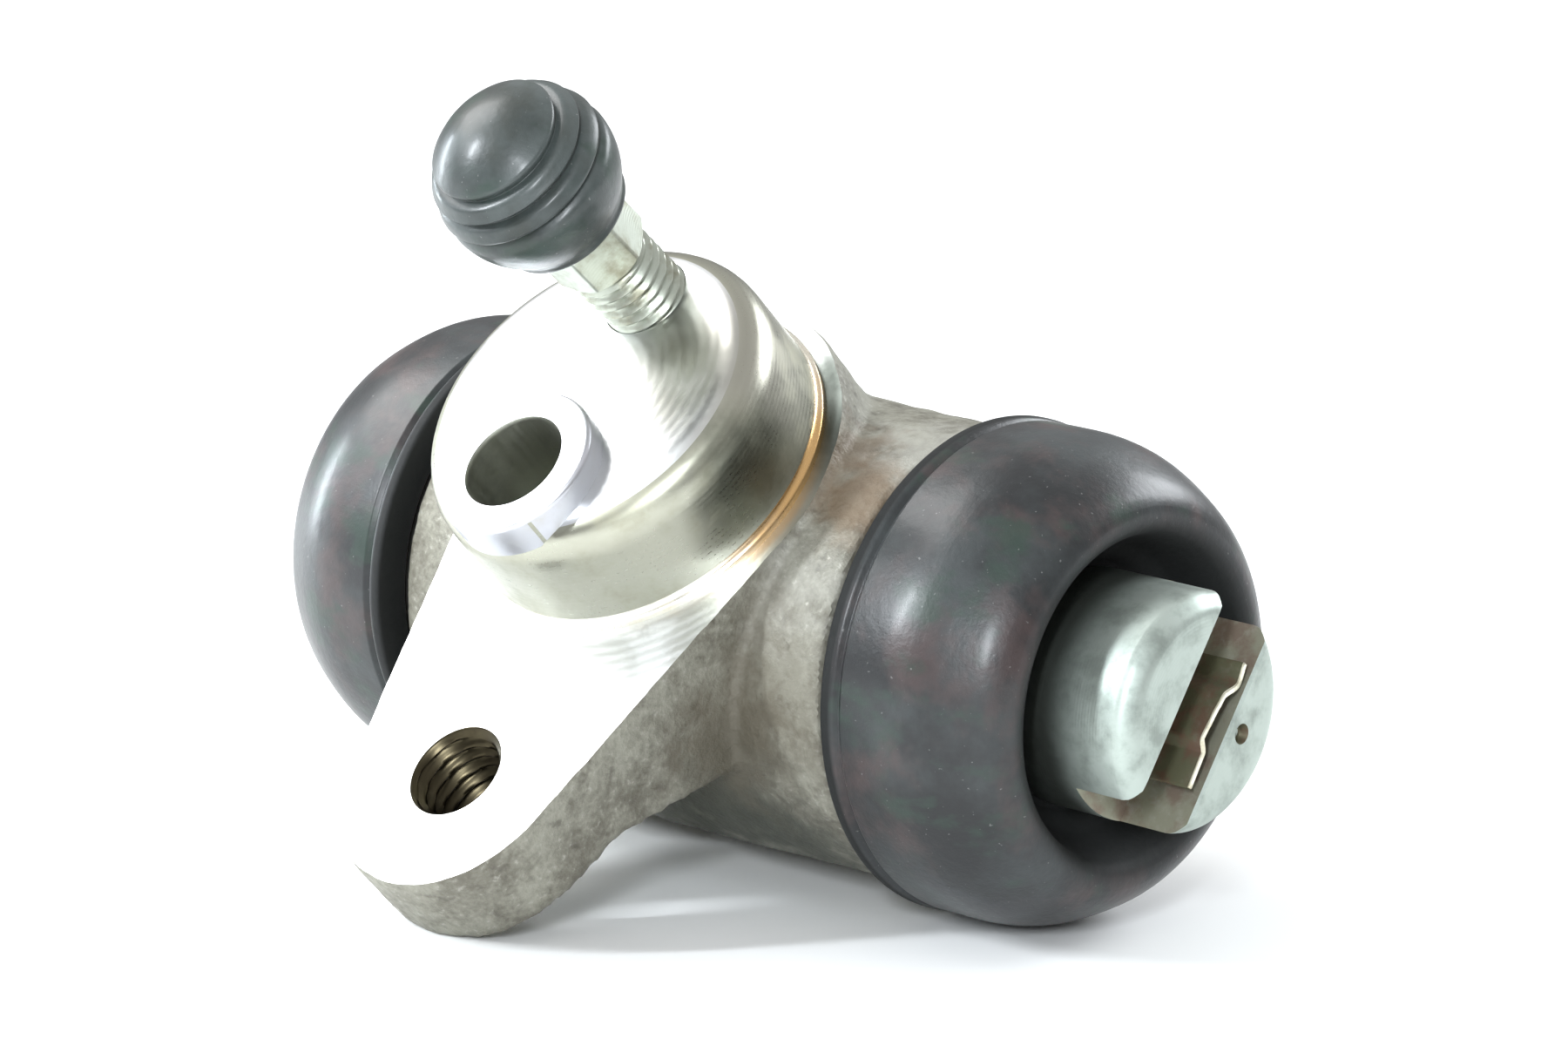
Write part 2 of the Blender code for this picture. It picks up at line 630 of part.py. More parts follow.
def make_expander(side, axis, steel):
    """The pressed steel dish that spreads the cup's lip and carries the return spring."""
    rim, seat = expander_stack()
    sheet = EXPANDER_SHEET
    expander = turned(side + "_cup_expander", [
        (EXPANDER_SEAT_RADIUS, rim),
        (EXPANDER_RIM_RADIUS, rim),
        (EXPANDER_RIM_RADIUS, rim - sheet),
        (EXPANDER_SEAT_RADIUS + sheet, rim - sheet),
        (EXPANDER_SEAT_RADIUS, seat),
        (EXPANDER_PILOT_RADIUS, seat),
        (EXPANDER_PILOT_RADIUS - sheet, seat - EXPANDER_PILOT_HEIGHT),
        (0.0, seat - EXPANDER_PILOT_HEIGHT),
    ], axis, SMALL_SEGMENTS)
    inside = [
        (0.0, seat - EXPANDER_PILOT_HEIGHT + sheet),
        (EXPANDER_PILOT_RADIUS - 2 * sheet, seat - EXPANDER_PILOT_HEIGHT + sheet),
        (EXPANDER_PILOT_RADIUS - sheet, seat + sheet),
        (EXPANDER_SEAT_RADIUS - sheet, seat + sheet),
        (EXPANDER_SEAT_RADIUS, rim),
    ]
    profile = inside + [tuple(v.co.xz) for v in expander.data.vertices][1:]
    expander.data.clear_geometry()
    expander.data.from_pydata([(r, 0.0, z) for r, z in profile],
                              [(i, i + 1) for i in range(len(profile) - 1)], [])
    expander.data.materials.append(steel)
    return expander


def make_return_spring(frame, steel):
    """The coil spring between the two expanders, closed at its ends."""
    seat = expander_stack()[1]
    half = seat - SEAT_GAP - SPRING_WIRE_RADIUS
    count = SPRING_TURNS * SPRING_STEPS
    curve = bpy.data.curves.new("return_spring", "CURVE")
    curve.dimensions = "3D"
    curve.bevel_depth = SPRING_WIRE_RADIUS
    curve.bevel_resolution = 1
    curve.use_fill_caps = True
    spline = curve.splines.new("POLY")
    spline.points.add(count)
    closed_share = 1 / SPRING_TURNS
    for i, point in enumerate(spline.points):
        share = i / count
        angle = share * SPRING_TURNS * 2 * math.pi
        free = min(max((share - closed_share / 2) / (1 - closed_share), 0.0), 1.0)
        ends = (share - 0.5) * 2 * SPRING_TURNS * SPRING_WIRE_RADIUS * 2.1 / half
        x = half * ((1 - abs(ends)) * (2 * free - 1) + ends) if abs(ends) < 1 else half * (2 * free - 1)
        point.co = (x, SPRING_RADIUS * math.cos(angle), SPRING_RADIUS * math.sin(angle), 1.0)
    carrier = bpy.data.objects.new("return_spring_line", curve)
    Shop.parts.objects.link(carrier)
    mesh = mesh_of(carrier)
    bpy.data.objects.remove(carrier, do_unlink=True)
    spring = place(bpy.data.objects.new("return_spring", mesh), frame, False)
    spring.data.materials.append(steel)
    return spring


def boot_profile():
    """The boot's closed section: crest, dome, lip and bead, then the inside back to the crest."""
    line = BOOT_LIP_START + BOOT_LIP_WIDTH
    bead_radius = BOOT_GROOVE_RADIUS + SEAT_GAP
    bead_end = BOOT_GROOVE_START + BOOT_GROOVE_WIDTH - SEAT_GAP
    clear_flange = END_FLANGE_RADIUS + SEAT_GAP
    crest_middle = BOOT_CREST - BOOT_WALL
    rise = crest_middle - BOOT_DOME_START
    outer_width = BOOT_DOME_RADIUS - BOOT_CREST_RADIUS - BOOT_WALL
    inner_width = clear_flange - BOOT_CREST_RADIUS

    crest = arc((BOOT_CREST_RADIUS, crest_middle), BOOT_WALL, 180, 0, 5)
    dome = []
    for angle in (72, 54, 36, 18, 0):
        turn = math.radians(angle)
        dome.append((BOOT_CREST_RADIUS + BOOT_WALL + outer_width * math.cos(turn),
                     BOOT_DOME_START + rise * math.sin(turn)))
    lip = [
        (BOOT_DOME_RADIUS, line + BOOT_LINE_DEPTH),
        (BOOT_DOME_RADIUS - BOOT_LINE_DEPTH, line),
        (BOOT_LIP_RADIUS, line - BOOT_LINE_DEPTH),
        (BOOT_LIP_RADIUS, BOOT_LIP_START + BOOT_LINE_DEPTH),
        (BOOT_LIP_RADIUS - BOOT_LINE_DEPTH, BOOT_LIP_START),
        (bead_radius, BOOT_LIP_START),
        (bead_radius, bead_end),
        (clear_flange, bead_end),
    ]
    inner_dome = []
    for angle in (0, 36, 66, 90):
        turn = math.radians(angle)
        inner_dome.append((BOOT_CREST_RADIUS + inner_width * math.cos(turn),
                           BOOT_DOME_START + rise * math.sin(turn)))
    lip_radius = PISTON_GROOVE_RADIUS + SEAT_GAP
    lip_top = PISTON_HEAD_START + PISTON_HEAD_LENGTH + PISTON_GROOVE_WIDTH - SEAT_GAP
    lip_bottom = lip_top - BOOT_INNER_LIP_WIDTH
    clear_nose = PISTON_NOSE_RADIUS + SEAT_GAP
    inner_lip = [
        (BOOT_TROUGH_RADIUS + BOOT_WALL / 2, BOOT_TROUGH - BOOT_WALL / 2),
        (BOOT_TROUGH_RADIUS - BOOT_WALL / 2, lip_bottom),
        (lip_radius, lip_bottom),
        (lip_radius, lip_top),
        (clear_nose, lip_top),
        (clear_nose, BOOT_TROUGH - BOOT_WALL / 4),
        (BOOT_TROUGH_RADIUS, BOOT_TROUGH),
    ]
    return crest + dome + lip + inner_dome + inner_lip


def make_boot(side, axis, rubber):
    boot = turned(side + "_boot", boot_profile(), axis, FINE_SEGMENTS, closed=True)
    boot.data.materials.append(rubber)
    return boot


def lean_angle():
    """The lean about X at which the boots and the flat on the ear's tip stand on one plane."""
    reach = EAR_HOLE_OFFSET + EAR_TIP_RADIUS
    height = FACE_HEIGHT - EAR_THICKNESS
    leans = []
    for y, z in ((reach, height + EAR_TIP_FLAT), (reach - EAR_TIP_FLAT, height)):
        leans.append(math.atan2(z, y) + math.asin(BOOT_LIP_RADIUS / math.hypot(y, z)))
    return min(leans)


def bake_modifiers(made):
    """Turns an object's modifiers into its mesh and marks the sharp edges of the smooth shape."""
    materials = list(made.data.materials)
    mesh = mesh_of(made)
    mesh.name = made.name
    made.modifiers.clear()
    made.data = mesh
    mesh.materials.clear()
    for one in materials:
        mesh.materials.append(one)
    mesh.shade_smooth()
    mesh.set_sharp_from_angle(angle=SHARP_ANGLE)


def stand_on_ground(root):
    """Moves the root so that the part's box has its bottom centre at the origin."""
    bpy.context.view_layer.update()
    corners = []
    for made in Shop.parts.objects:
        if made.type == "MESH":
            corners += [made.matrix_world @ v.co for v in made.data.vertices]
    low = Vector([min(c[i] for c in corners) for i in range(3)])
    high = Vector([max(c[i] for c in corners) for i in range(3)])
    root.location -= Vector(((low.x + high.x) / 2, (low.y + high.y) / 2, low.z))


def main():
    clear_scene()
    Shop.parts = new_collection("wheel_cylinder")
    Shop.cutters = new_collection("cutters")
    iron = finish_material("cast_iron", (0.30, 0.28, 0.25), 0.55, 0.6)
    body_rubber = finish_material("boot_rubber", (0.045, 0.045, 0.05), 0.38, 0.0)
    cap_rubber = finish_material("cap_rubber", (0.05, 0.055, 0.055), 0.42, 0.0)
    piston_zinc = finish_material("piston_zinc", (0.55, 0.62, 0.58), 0.35, 0.8)
    screw_zinc = finish_material("bleeder_zinc", (0.62, 0.66, 0.58), 0.30, 0.8)
    leaf_steel = finish_material("leaf_steel", (0.68, 0.66, 0.55), 0.30, 0.9)
    spring_steel = finish_material("spring_steel", (0.40, 0.40, 0.40), 0.35, 0.9)
    pressed_steel = finish_material("pressed_steel", (0.50, 0.50, 0.48), 0.40, 0.8)
    seal_rubber = finish_material("seal_rubber", (0.03, 0.03, 0.03), 0.45, 0.0)

    root = new_empty("wheel_cylinder", rotation=(lean_angle(), 0.0, 0.0))
    make_body(root, iron)
    make_bleeder(root, screw_zinc)
    make_dust_cap(root, cap_rubber)
    make_return_spring(root, spring_steel)
    for side, turn in (("right", math.pi / 2), ("left", -math.pi / 2)):
        outward = new_empty(side + "_bore_axis", root, rotation=(0.0, turn, 0.0))
        turning = new_empty(side + "_piston_axis", outward, rotation=(0.0, 0.0, SLOT_TURN[side]))
        make_boot(side, outward, body_rubber)
        make_cup(side, outward, seal_rubber)
        make_expander(side, outward, pressed_steel)
        make_piston(side, turning, piston_zinc)
        make_leaf_spring(side, turning, leaf_steel)
    for made in list(Shop.parts.objects):
        if made.type == "MESH":
            bake_modifiers(made)
    stand_on_ground(root)


main()
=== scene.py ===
"""A drum brake wheel cylinder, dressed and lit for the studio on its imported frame."""

import json
import logging
import math
from collections.abc import Callable, Sequence
from dataclasses import dataclass, field
from enum import Enum
from typing import Protocol

import bmesh
import bpy
from mathutils import Matrix, Vector, noise


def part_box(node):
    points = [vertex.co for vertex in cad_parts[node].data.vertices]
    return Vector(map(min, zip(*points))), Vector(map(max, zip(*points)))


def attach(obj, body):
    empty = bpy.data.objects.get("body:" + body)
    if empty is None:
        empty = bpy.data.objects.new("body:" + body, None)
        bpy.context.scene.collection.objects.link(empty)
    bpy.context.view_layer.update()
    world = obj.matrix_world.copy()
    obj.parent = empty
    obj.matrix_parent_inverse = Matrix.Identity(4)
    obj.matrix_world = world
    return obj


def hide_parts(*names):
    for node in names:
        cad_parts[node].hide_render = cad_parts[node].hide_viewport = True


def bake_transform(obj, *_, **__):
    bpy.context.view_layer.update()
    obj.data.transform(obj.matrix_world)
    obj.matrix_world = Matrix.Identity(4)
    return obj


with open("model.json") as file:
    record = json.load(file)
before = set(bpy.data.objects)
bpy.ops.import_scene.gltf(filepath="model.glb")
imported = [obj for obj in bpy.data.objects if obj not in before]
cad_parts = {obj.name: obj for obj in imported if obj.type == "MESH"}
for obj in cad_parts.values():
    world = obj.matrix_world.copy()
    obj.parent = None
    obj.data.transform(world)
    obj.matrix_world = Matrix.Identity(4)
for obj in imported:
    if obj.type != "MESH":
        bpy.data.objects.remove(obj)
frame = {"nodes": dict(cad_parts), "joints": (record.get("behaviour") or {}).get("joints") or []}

LOG = logging.getLogger("wheel_cylinder")
MM = 0.001
TURN = 2 * math.pi
EVEN = (1.0, 1.0, 1.0)

Ring = list[Vector]
Colour = tuple[float, float, float]


class Side(Enum):
    """The two ends of the bore."""

    RIGHT = "right"
    LEFT = "left"

    @property
    def sign(self) -> int:
        """Gives +1 for the end at +X and -1 for the other."""
        return 1 if self is Side.RIGHT else -1

    @property
    def outward(self) -> Matrix:
        """Gives the turn that lays the Z axis along the bore, out of this end."""
        return Matrix.Rotation(self.sign * math.pi / 2, 4, "Y")


class Zone(Enum):
    """The differently worked surfaces of the casting, in the order of its material slots."""

    CAST = 0
    MILLED = 1
    TURNED = 2
    FOOT_EDGE = 3
    BORED = 4
    COLLAR = 5
    SEAL_RING = 6


@dataclass(frozen=True)
class ColourPatch:
    """A frayed round patch of colour on a surface, used for real stains and for painted shade and painted
    highlights.

    Attributes:
        centre: Its middle.
        reach: Its radius in metres.
        colour: Its colour.
        strength: Its share of the colour in its middle.
        fray: How far its edge wanders, as a share of the radius.
    """

    centre: Vector
    reach: float
    colour: Colour
    strength: float = 0.7
    fray: float = 0.5


class Value:
    """A shader socket that holds a number, with Python's operators adding Math nodes."""

    def __init__(self, kit: "NodeKit", socket: bpy.types.NodeSocket) -> None:
        self.kit = kit
        self.socket = socket

    def math(self, operation: str, first: "Value | float", second: "Value | float | None" = None) -> "Value":
        """Adds a Math node.

        Args:
            operation: The Math node's operation.
            first: The first number or value.
            second: The second one, where the operation has it.

        Returns:
            The node's result.
        """
        inputs = {0: first} if second is None else {0: first, 1: second}
        made = self.kit.node("ShaderNodeMath", {"operation": operation}, inputs)
        return Value(self.kit, made.outputs[0])

    def __add__(self, other: "Value | float") -> "Value":
        """Adds a number or value."""
        return self.math("ADD", self, other)

    __radd__ = __add__

    def __mul__(self, other: "Value | float") -> "Value":
        """Multiplies by a number or value."""
        return self.math("MULTIPLY", self, other)

    __rmul__ = __mul__

    def __sub__(self, other: "Value | float") -> "Value":
        """Takes a number or value away."""
        return self.math("SUBTRACT", self, other)

    def __rsub__(self, other: float) -> "Value":
        """Takes this value away from a number."""
        return self.math("SUBTRACT", other, self)

    def __abs__(self) -> "Value":
        """Gives this value without its sign."""
        return self.math("ABSOLUTE", self)

    def larger(self, other: "Value") -> "Value":
        """Gives the larger one of two values."""
        return self.math("MAXIMUM", self, other)

    def sine(self) -> "Value":
        """Gives the sine of this value in radians."""
        return self.math("SINE", self)

    def between(self, low: float, high: float) -> "Value":
        """Gives a smooth step of this value.

        Args:
            low: The number at which the step starts.
            high: The number at which it is 1. It may be under low.

        Returns:
            A value from 0 to 1.
        """
        made = self.kit.node("ShaderNodeMapRange", {"interpolation_type": "SMOOTHSTEP"},
                             {0: self, 1: min(low, high), 2: max(low, high)})
        step = Value(self.kit, made.outputs[0])
        return step if low <= high else 1.0 - step


class NodeKit:
    """Adds nodes to one tree."""

    def __init__(self, tree: bpy.types.NodeTree) -> None:
        """Keeps the tree."""
        self.tree = tree

    def node(self, kind: str, settings: dict[str, object] | None = None,
             inputs: dict[int | str, object] | None = None) -> bpy.types.Node:
        """Adds any node.

        Args:
            kind: The node's type.
            settings: Its properties, set before its sockets. A ramp takes its two stops under "stops".
            inputs: Its sockets by number or name, each in a form that feed takes.

        Returns:
            The new node.
        """
        made = self.tree.nodes.new(kind)
        for key, setting in (settings or {}).items():
            if key != "stops":
                setattr(made, key, setting)
                continue
            for element, (place, colour) in zip(made.color_ramp.elements, setting):
                element.position = place
                element.color = (*colour, 1.0)
        for key, given in (inputs or {}).items():
            self.feed(made.inputs[key], given)
        return made

    def feed(self, socket: bpy.types.NodeSocket, given: object) -> None:
        """Links or sets one socket.

        Args:
            socket: The input socket.
            given: A Value, an output socket, a number, a vector or a tuple.
        """
        if isinstance(given, Value):
            self.tree.links.new(given.socket, socket)
        elif isinstance(given, bpy.types.NodeSocket):
            self.tree.links.new(given, socket)
        elif isinstance(given, tuple) and socket.type == "RGBA":
            socket.default_value = (*given, 1.0)
        else:
            socket.default_value = given


class FinishKit(NodeKit):
    """Builds one material on the principled shader."""

    def __init__(self, name: str) -> None:
        """Starts an empty material.

        Args:
            name: The material's name.
        """
        self.material = bpy.data.materials.new(name)
        self.material.use_nodes = True
        super().__init__(self.material.node_tree)
        self.shader = self.tree.nodes["Principled BSDF"]
        self.place = self.node("ShaderNodeTexCoord").outputs["Object"]

    def vector(self, operation: str, result: str, inputs: dict[int | str, object]) -> bpy.types.NodeSocket:
        """Adds a Vector Math node.

        Args:
            operation: Its operation.
            result: The name of the output that is wanted.
            inputs: Its sockets by number or name.

        Returns:
            The output.
        """
        return self.node("ShaderNodeVectorMath", {"operation": operation}, inputs).outputs[result]

    def grain(self, feature: float, detail: float = 4.0, rough: float = 0.55,
              stretch: tuple[float, float, float] = EVEN) -> Value:
        """Adds a noise whose blots have a real size.

        Args:
            feature: The size of a blot in metres.
            detail: The number of finer octaves.
            rough: The weight of the finer octaves.
            stretch: How much finer the noise is along each axis.

        Returns:
            The noise from 0 to 1.
        """
        where = self.vector("MULTIPLY", "Vector", {0: self.place, 1: stretch})
        made = self.node("ShaderNodeTexNoise", {"noise_dimensions": "3D"}, {
            "Vector": where, "Scale": 1.0 / feature, "Detail": detail, "Roughness": rough})
        return Value(self, made.outputs[0])

    def blend(self, share: Value, first: object, second: object) -> bpy.types.NodeSocket:
        """Mixes two colours.

        Args:
            share: The second colour's share.
            first: The first colour or socket.
            second: The second colour or socket.

        Returns:
            The mixed colour's socket.
        """
        made = self.node("ShaderNodeMix", {"data_type": "RGBA"}, {"Factor": share, 6: first, 7: second})
        return made.outputs[2]

    def about(self, origin: Vector, axis: Vector) -> tuple[Value, Value]:
        """Measures the surface about an axis.

        Args:
            origin: A point on the axis.
            axis: The axis as a unit vector.

        Returns:
            The distance along the axis and the distance from it, in millimetres.
        """
        offset = self.vector("SUBTRACT", "Vector", {0: self.place, 1: origin})
        along = self.vector("DOT_PRODUCT", "Value", {0: offset, 1: axis})
        foot = self.vector("SCALE", "Vector", {0: axis, "Scale": along})
        away = self.vector("SUBTRACT", "Vector", {0: offset, 1: foot})
        radius = self.vector("LENGTH", "Value", {0: away})
        return Value(self, along) * (1 / MM), Value(self, radius) * (1 / MM)

    def stained(self, colour: object, patches: Sequence[ColourPatch]) -> object:
        """Lays patches of colour over a colour: real stains, painted shade and painted highlights.

        Args:
            colour: The colour or socket under them.
            patches: The patches in order.

        Returns:
            The colour with its patches.
        """
        for stain in patches:
            gap = self.vector("DISTANCE", "Value", {0: self.place, 1: stain.centre})
            wander = (self.grain(stain.reach * 0.35, 5.0) - 0.5) * (2 * stain.fray)
            mask = (Value(self, gap) * (1 / stain.reach) + wander).between(1.1, 0.3)
            colour = self.blend(mask * stain.strength, colour, stain.colour)
        return colour

    def emboss(self, height: Value, depth: float, strength: float) -> bpy.types.NodeSocket:
        """Adds a Bump node.

        Args:
            height: The height from 0 to 1.
            depth: The real height of 1, in metres.
            strength: The bump's strength.

        Returns:
            The normal's socket.
        """
        inputs = {"Height": height, "Distance": depth, "Strength": strength}
        return self.node("ShaderNodeBump", None, inputs).outputs[0]

    def shade(self, **sockets: object) -> bpy.types.Material:
        """Sets the shader's sockets.

        Args:
            sockets: Values by socket name, with underscores for spaces.

        Returns:
            The finished material.
        """
        for key, given in sockets.items():
            self.feed(self.shader.inputs[key.replace("_", " ")], given)
        return self.material


@dataclass(frozen=True)
class CastSkin:
    """As-cast iron: sandy grain, grey-brown mottling, dull sheen, and patches that are stains, painted shade
    and painted highlights.

    Attributes:
        light: The paler colour of the mottling.
        dark: The darker colour of the mottling.
        patches: Rusty and grimy places, with painted shadow and shade in dark tones and painted highlights in
            pale ones.
    """

    light: Colour = (0.262, 0.258, 0.212)
    dark: Colour = (0.112, 0.104, 0.080)
    patches: tuple[ColourPatch, ...] = ()

    def make(self) -> bpy.types.Material:
        """Builds the material.

        Returns:
            The material.
        """
        kit = FinishKit("cast_skin")
        broad = kit.grain(6 * MM, 6.0, 0.62)
        sand = kit.grain(0.55 * MM, 3.0, 0.6)
        pits = kit.grain(1.6 * MM, 4.0, 0.6)
        tone = (broad * 0.55 + sand * 0.25 + pits * 0.2).between(0.38, 0.62)
        colour = kit.blend(tone, self.dark, self.light)
        glints = sand.between(0.60, 0.72)
        colour = kit.blend(glints * 0.3, colour, (0.50, 0.49, 0.45))
        colour = kit.blend(pits.between(0.41, 0.30) * 0.45, colour, (0.065, 0.057, 0.045))
        colour = kit.stained(colour, self.patches)
        rough = 0.46 + broad * 0.22 - glints * 0.10
        metal = 0.12 + glints * 0.4
        relief = kit.emboss(pits * 0.6 + sand * 0.4, 0.30 * MM, 0.85)
        return kit.shade(Base_Color=colour, Roughness=rough, Metallic=metal, Normal=relief)


@dataclass(frozen=True)
class MachinedSteel:
    """A bright cut surface with the fine rings that the tool leaves about an axis.

    Attributes:
        name: The material's name.
        origin: A point on the cut's axis.
        axis: The cut's axis.
        bright: The metal's clean colour.
        dull: The metal's tarnished colour.
        rough: The least roughness.
        pitch: The spacing of the rings in millimetres.
        rings_along: Whether the rings step along the axis, as on a side, and not away from it.
        depth: The depth of the rings in metres.
        tarnish: The share of the dull colour at the most.
        patches: Stained places and painted shade.
    """

    name: str
    origin: Vector
    axis: Vector
    bright: Colour = (0.86, 0.86, 0.84)
    dull: Colour = (0.52, 0.50, 0.44)
    rough: float = 0.20
    pitch: float = 0.35
    rings_along: bool = False
    depth: float = 0.012 * MM
    tarnish: float = 0.6
    patches: tuple[ColourPatch, ...] = ()

    def make(self) -> bpy.types.Material:
        """Builds the material.

        Returns:
            The material.
        """
        kit = FinishKit(self.name)
        along, radius = kit.about(self.origin, self.axis)
        measure = along if self.rings_along else radius
        wander = kit.grain(4 * MM, 3.0) * 0.5
        rings = ((measure + wander * self.pitch) * (TURN / self.pitch)).sine() * 0.5 + 0.5
        blots = kit.grain(5 * MM, 6.0, 0.6).between(0.45, 0.72)
        fine = kit.grain(0.25 * MM, 2.0)
        colour = kit.stained(kit.blend(blots * self.tarnish, self.bright, self.dull), self.patches)
        rough = self.rough + blots * 0.16 + rings * 0.05 + fine * 0.05
        relief = kit.emboss(rings * 0.7 + fine * 0.3, self.depth, 0.6)
        return kit.shade(Base_Color=colour, Roughness=rough, Metallic=1.0, Normal=relief)


@dataclass(frozen=True)
class MouldedRubber:
    """Moulded black rubber with a soft sheen, faint blooms and fine grain, and on a boot painted shade in its
    inner crease and behind its lip.

    Attributes:
        name: The material's name.
        base: The rubber's own colour.
        bloom: The paler bloom on it.
        tint: A second, warmer cast of the bloom.
        moss: A third, greener cast.
        rough: The least roughness.
        sheen: The weight of the coat.
        painted_shade_fold: The bore's origin and axis, for a boot with painted shade, nearly black, in its
            inner crease round the piston and behind its lip.
        painted_shade_radius: The radius in millimetres within which the shade is painted.
        lip_end: The distance from the bore's middle, in millimetres, up to which the shade is painted.
    """

    name: str
    base: Colour = (0.011, 0.012, 0.013)
    bloom: Colour = (0.033, 0.039, 0.040)
    tint: Colour = (0.062, 0.040, 0.038)
    moss: Colour = (0.018, 0.036, 0.026)
    rough: float = 0.30
    sheen: float = 0.14
    painted_shade_fold: tuple[Vector, Vector] | None = None
    painted_shade_radius: float = 13.2
    lip_end: float = 24.9

    def make(self) -> bpy.types.Material:
        """Builds the material.

        Returns:
            The material.
        """
        kit = FinishKit(self.name)
        broad = kit.grain(9 * MM, 5.0, 0.6)
        warm = kit.grain(6.5 * MM, 4.0, 0.6, (1.0, 1.2, 0.9))
        dust = kit.grain(0.7 * MM, 3.0, 0.65)
        specks = kit.grain(0.33 * MM, 1.0).between(0.73, 0.80)
        colour = kit.blend(broad.between(0.38, 0.68), self.base, self.bloom)
        colour = kit.blend(warm.between(0.46, 0.68) * 0.6, colour, self.tint)
        green = kit.grain(5 * MM, 4.0, 0.6, (0.8, 1.0, 1.3))
        colour = kit.blend(green.between(0.52, 0.68) * 0.7, colour, self.moss)
        colour = kit.blend(specks * 0.25, colour, (0.35, 0.35, 0.34))
        rough = self.rough + broad * 0.10 + dust * 0.10
        coat: Value | float = self.sheen
        # Painted shade: the boot turns nearly black in its inner crease round the piston and behind its lip at
        # the casting, and loses its coat there.
        if self.painted_shade_fold is not None:
            along, radius = kit.about(*self.painted_shade_fold)
            inside = radius.between(self.painted_shade_radius + 1.6, self.painted_shade_radius - 0.6)
            inside = inside.larger(abs(along).between(self.lip_end + 0.25, self.lip_end - 0.15))
            colour = kit.blend(inside, colour, (0.004, 0.005, 0.005))
            rough = rough + inside * 0.35
            coat = (1.0 - inside) * self.sheen
        relief = kit.emboss(dust * 0.7 + broad * 0.3, 0.09 * MM, 0.55)
        return kit.shade(Base_Color=colour, Roughness=rough, Normal=relief, Coat_Weight=coat,
                         Coat_Roughness=0.2, Specular_IOR_Level=0.4)


@dataclass(frozen=True)
class ZincPlate:
    """Passivated zinc plate over turned steel, pale with a faint green cast.

    Attributes:
        name: The material's name.
        origin: A point on the piece's axis.
        axis: The piece's axis.
        pale: The plate's colour.
        worn: The colour where it has dulled.
        rough: The least roughness.
        pitch: The spacing of the turned rings in millimetres.
        painted_shade_band: The distances along the axis, in millimetres, over which painted shade from the
            boot ends, where there is some.
    """

    name: str
    origin: Vector
    axis: Vector
    pale: Colour = (0.45, 0.51, 0.47)
    worn: Colour = (0.29, 0.33, 0.30)
    rough: float = 0.38
    pitch: float = 0.28
    painted_shade_band: tuple[float, float] | None = None

    def make(self) -> bpy.types.Material:
        """Builds the material.

        Returns:
            The material.
        """
        kit = FinishKit(self.name)
        along, radius = kit.about(self.origin, self.axis)
        rings = ((along + radius) * (TURN / self.pitch)).sine() * 0.5 + 0.5
        cloud = kit.grain(3.2 * MM, 6.0, 0.62)
        fine = kit.grain(0.3 * MM, 3.0)
        colour = kit.blend(cloud.between(0.42, 0.70), self.pale, self.worn)
        rough = self.rough + cloud * 0.18 + fine * 0.06
        if self.painted_shade_band is not None:
            # Painted shade: the nose darkens towards the boot, whose cavity shades it.
            painted_shade = (abs(along) + cloud * 1.6).between(self.painted_shade_band[1] + 0.8, self.painted_shade_band[0] + 0.8)
            colour = kit.blend(painted_shade * 0.85, colour, (0.06, 0.065, 0.055))
        relief = kit.emboss(rings * 0.45 + fine * 0.55, 0.014 * MM, 0.6)
        return kit.shade(Base_Color=colour, Roughness=rough, Metallic=0.9, Normal=relief)


@dataclass(frozen=True)
class StainedSlot:
    """Stained metal, as on the sawn slot's walls and the leaf spring's faces.

    Attributes:
        name: The material's name.
        olive: The colour of most of it.
        brown: The colour of its rusty places.
        pale: The colour of its worn places.
    """

    name: str = "stained_slot"
    olive: Colour = (0.30, 0.30, 0.23)
    brown: Colour = (0.24, 0.19, 0.15)
    pale: Colour = (0.42, 0.41, 0.35)

    def make(self) -> bpy.types.Material:
        """Builds the material.

        Returns:
            The material.
        """
        kit = FinishKit(self.name)
        cloud = kit.grain(2.6 * MM, 5.0, 0.6)
        other = kit.grain(1.4 * MM, 4.0, 0.6)
        saw = kit.grain(0.35 * MM, 3.0, 0.6, (6.0, 1.0, 1.0))
        colour = kit.blend(cloud.between(0.42, 0.62), self.olive, self.brown)
        colour = kit.blend(other.between(0.52, 0.72) * 0.5, colour, self.pale)
        relief = kit.emboss(saw, 0.03 * MM, 0.6)
        return kit.shade(Base_Color=colour, Roughness=0.42 + other * 0.2, Metallic=0.55, Normal=relief)


@dataclass(frozen=True)
class DrawnSteel:
    """Drawn or rolled spring steel with lengthwise lines.

    Attributes:
        name: The material's name.
        bright: The clean metal.
        dull: The oxide on it.
        rough: The least roughness.
    """

    name: str
    bright: Colour = (0.86, 0.84, 0.70)
    dull: Colour = (0.50, 0.46, 0.33)
    rough: float = 0.24

    def make(self) -> bpy.types.Material:
        """Builds the material.

        Returns:
            The material.
        """
        kit = FinishKit(self.name)
        lines = kit.grain(0.5 * MM, 3.0, 0.6, (4.0, 1.0, 1.0))
        cloud = kit.grain(2.0 * MM, 4.0, 0.6)
        colour = kit.blend(cloud.between(0.45, 0.72), self.bright, self.dull)
        relief = kit.emboss(lines, 0.01 * MM, 0.5)
        return kit.shade(Base_Color=colour, Roughness=self.rough + cloud * 0.16, Metallic=1.0, Normal=relief)


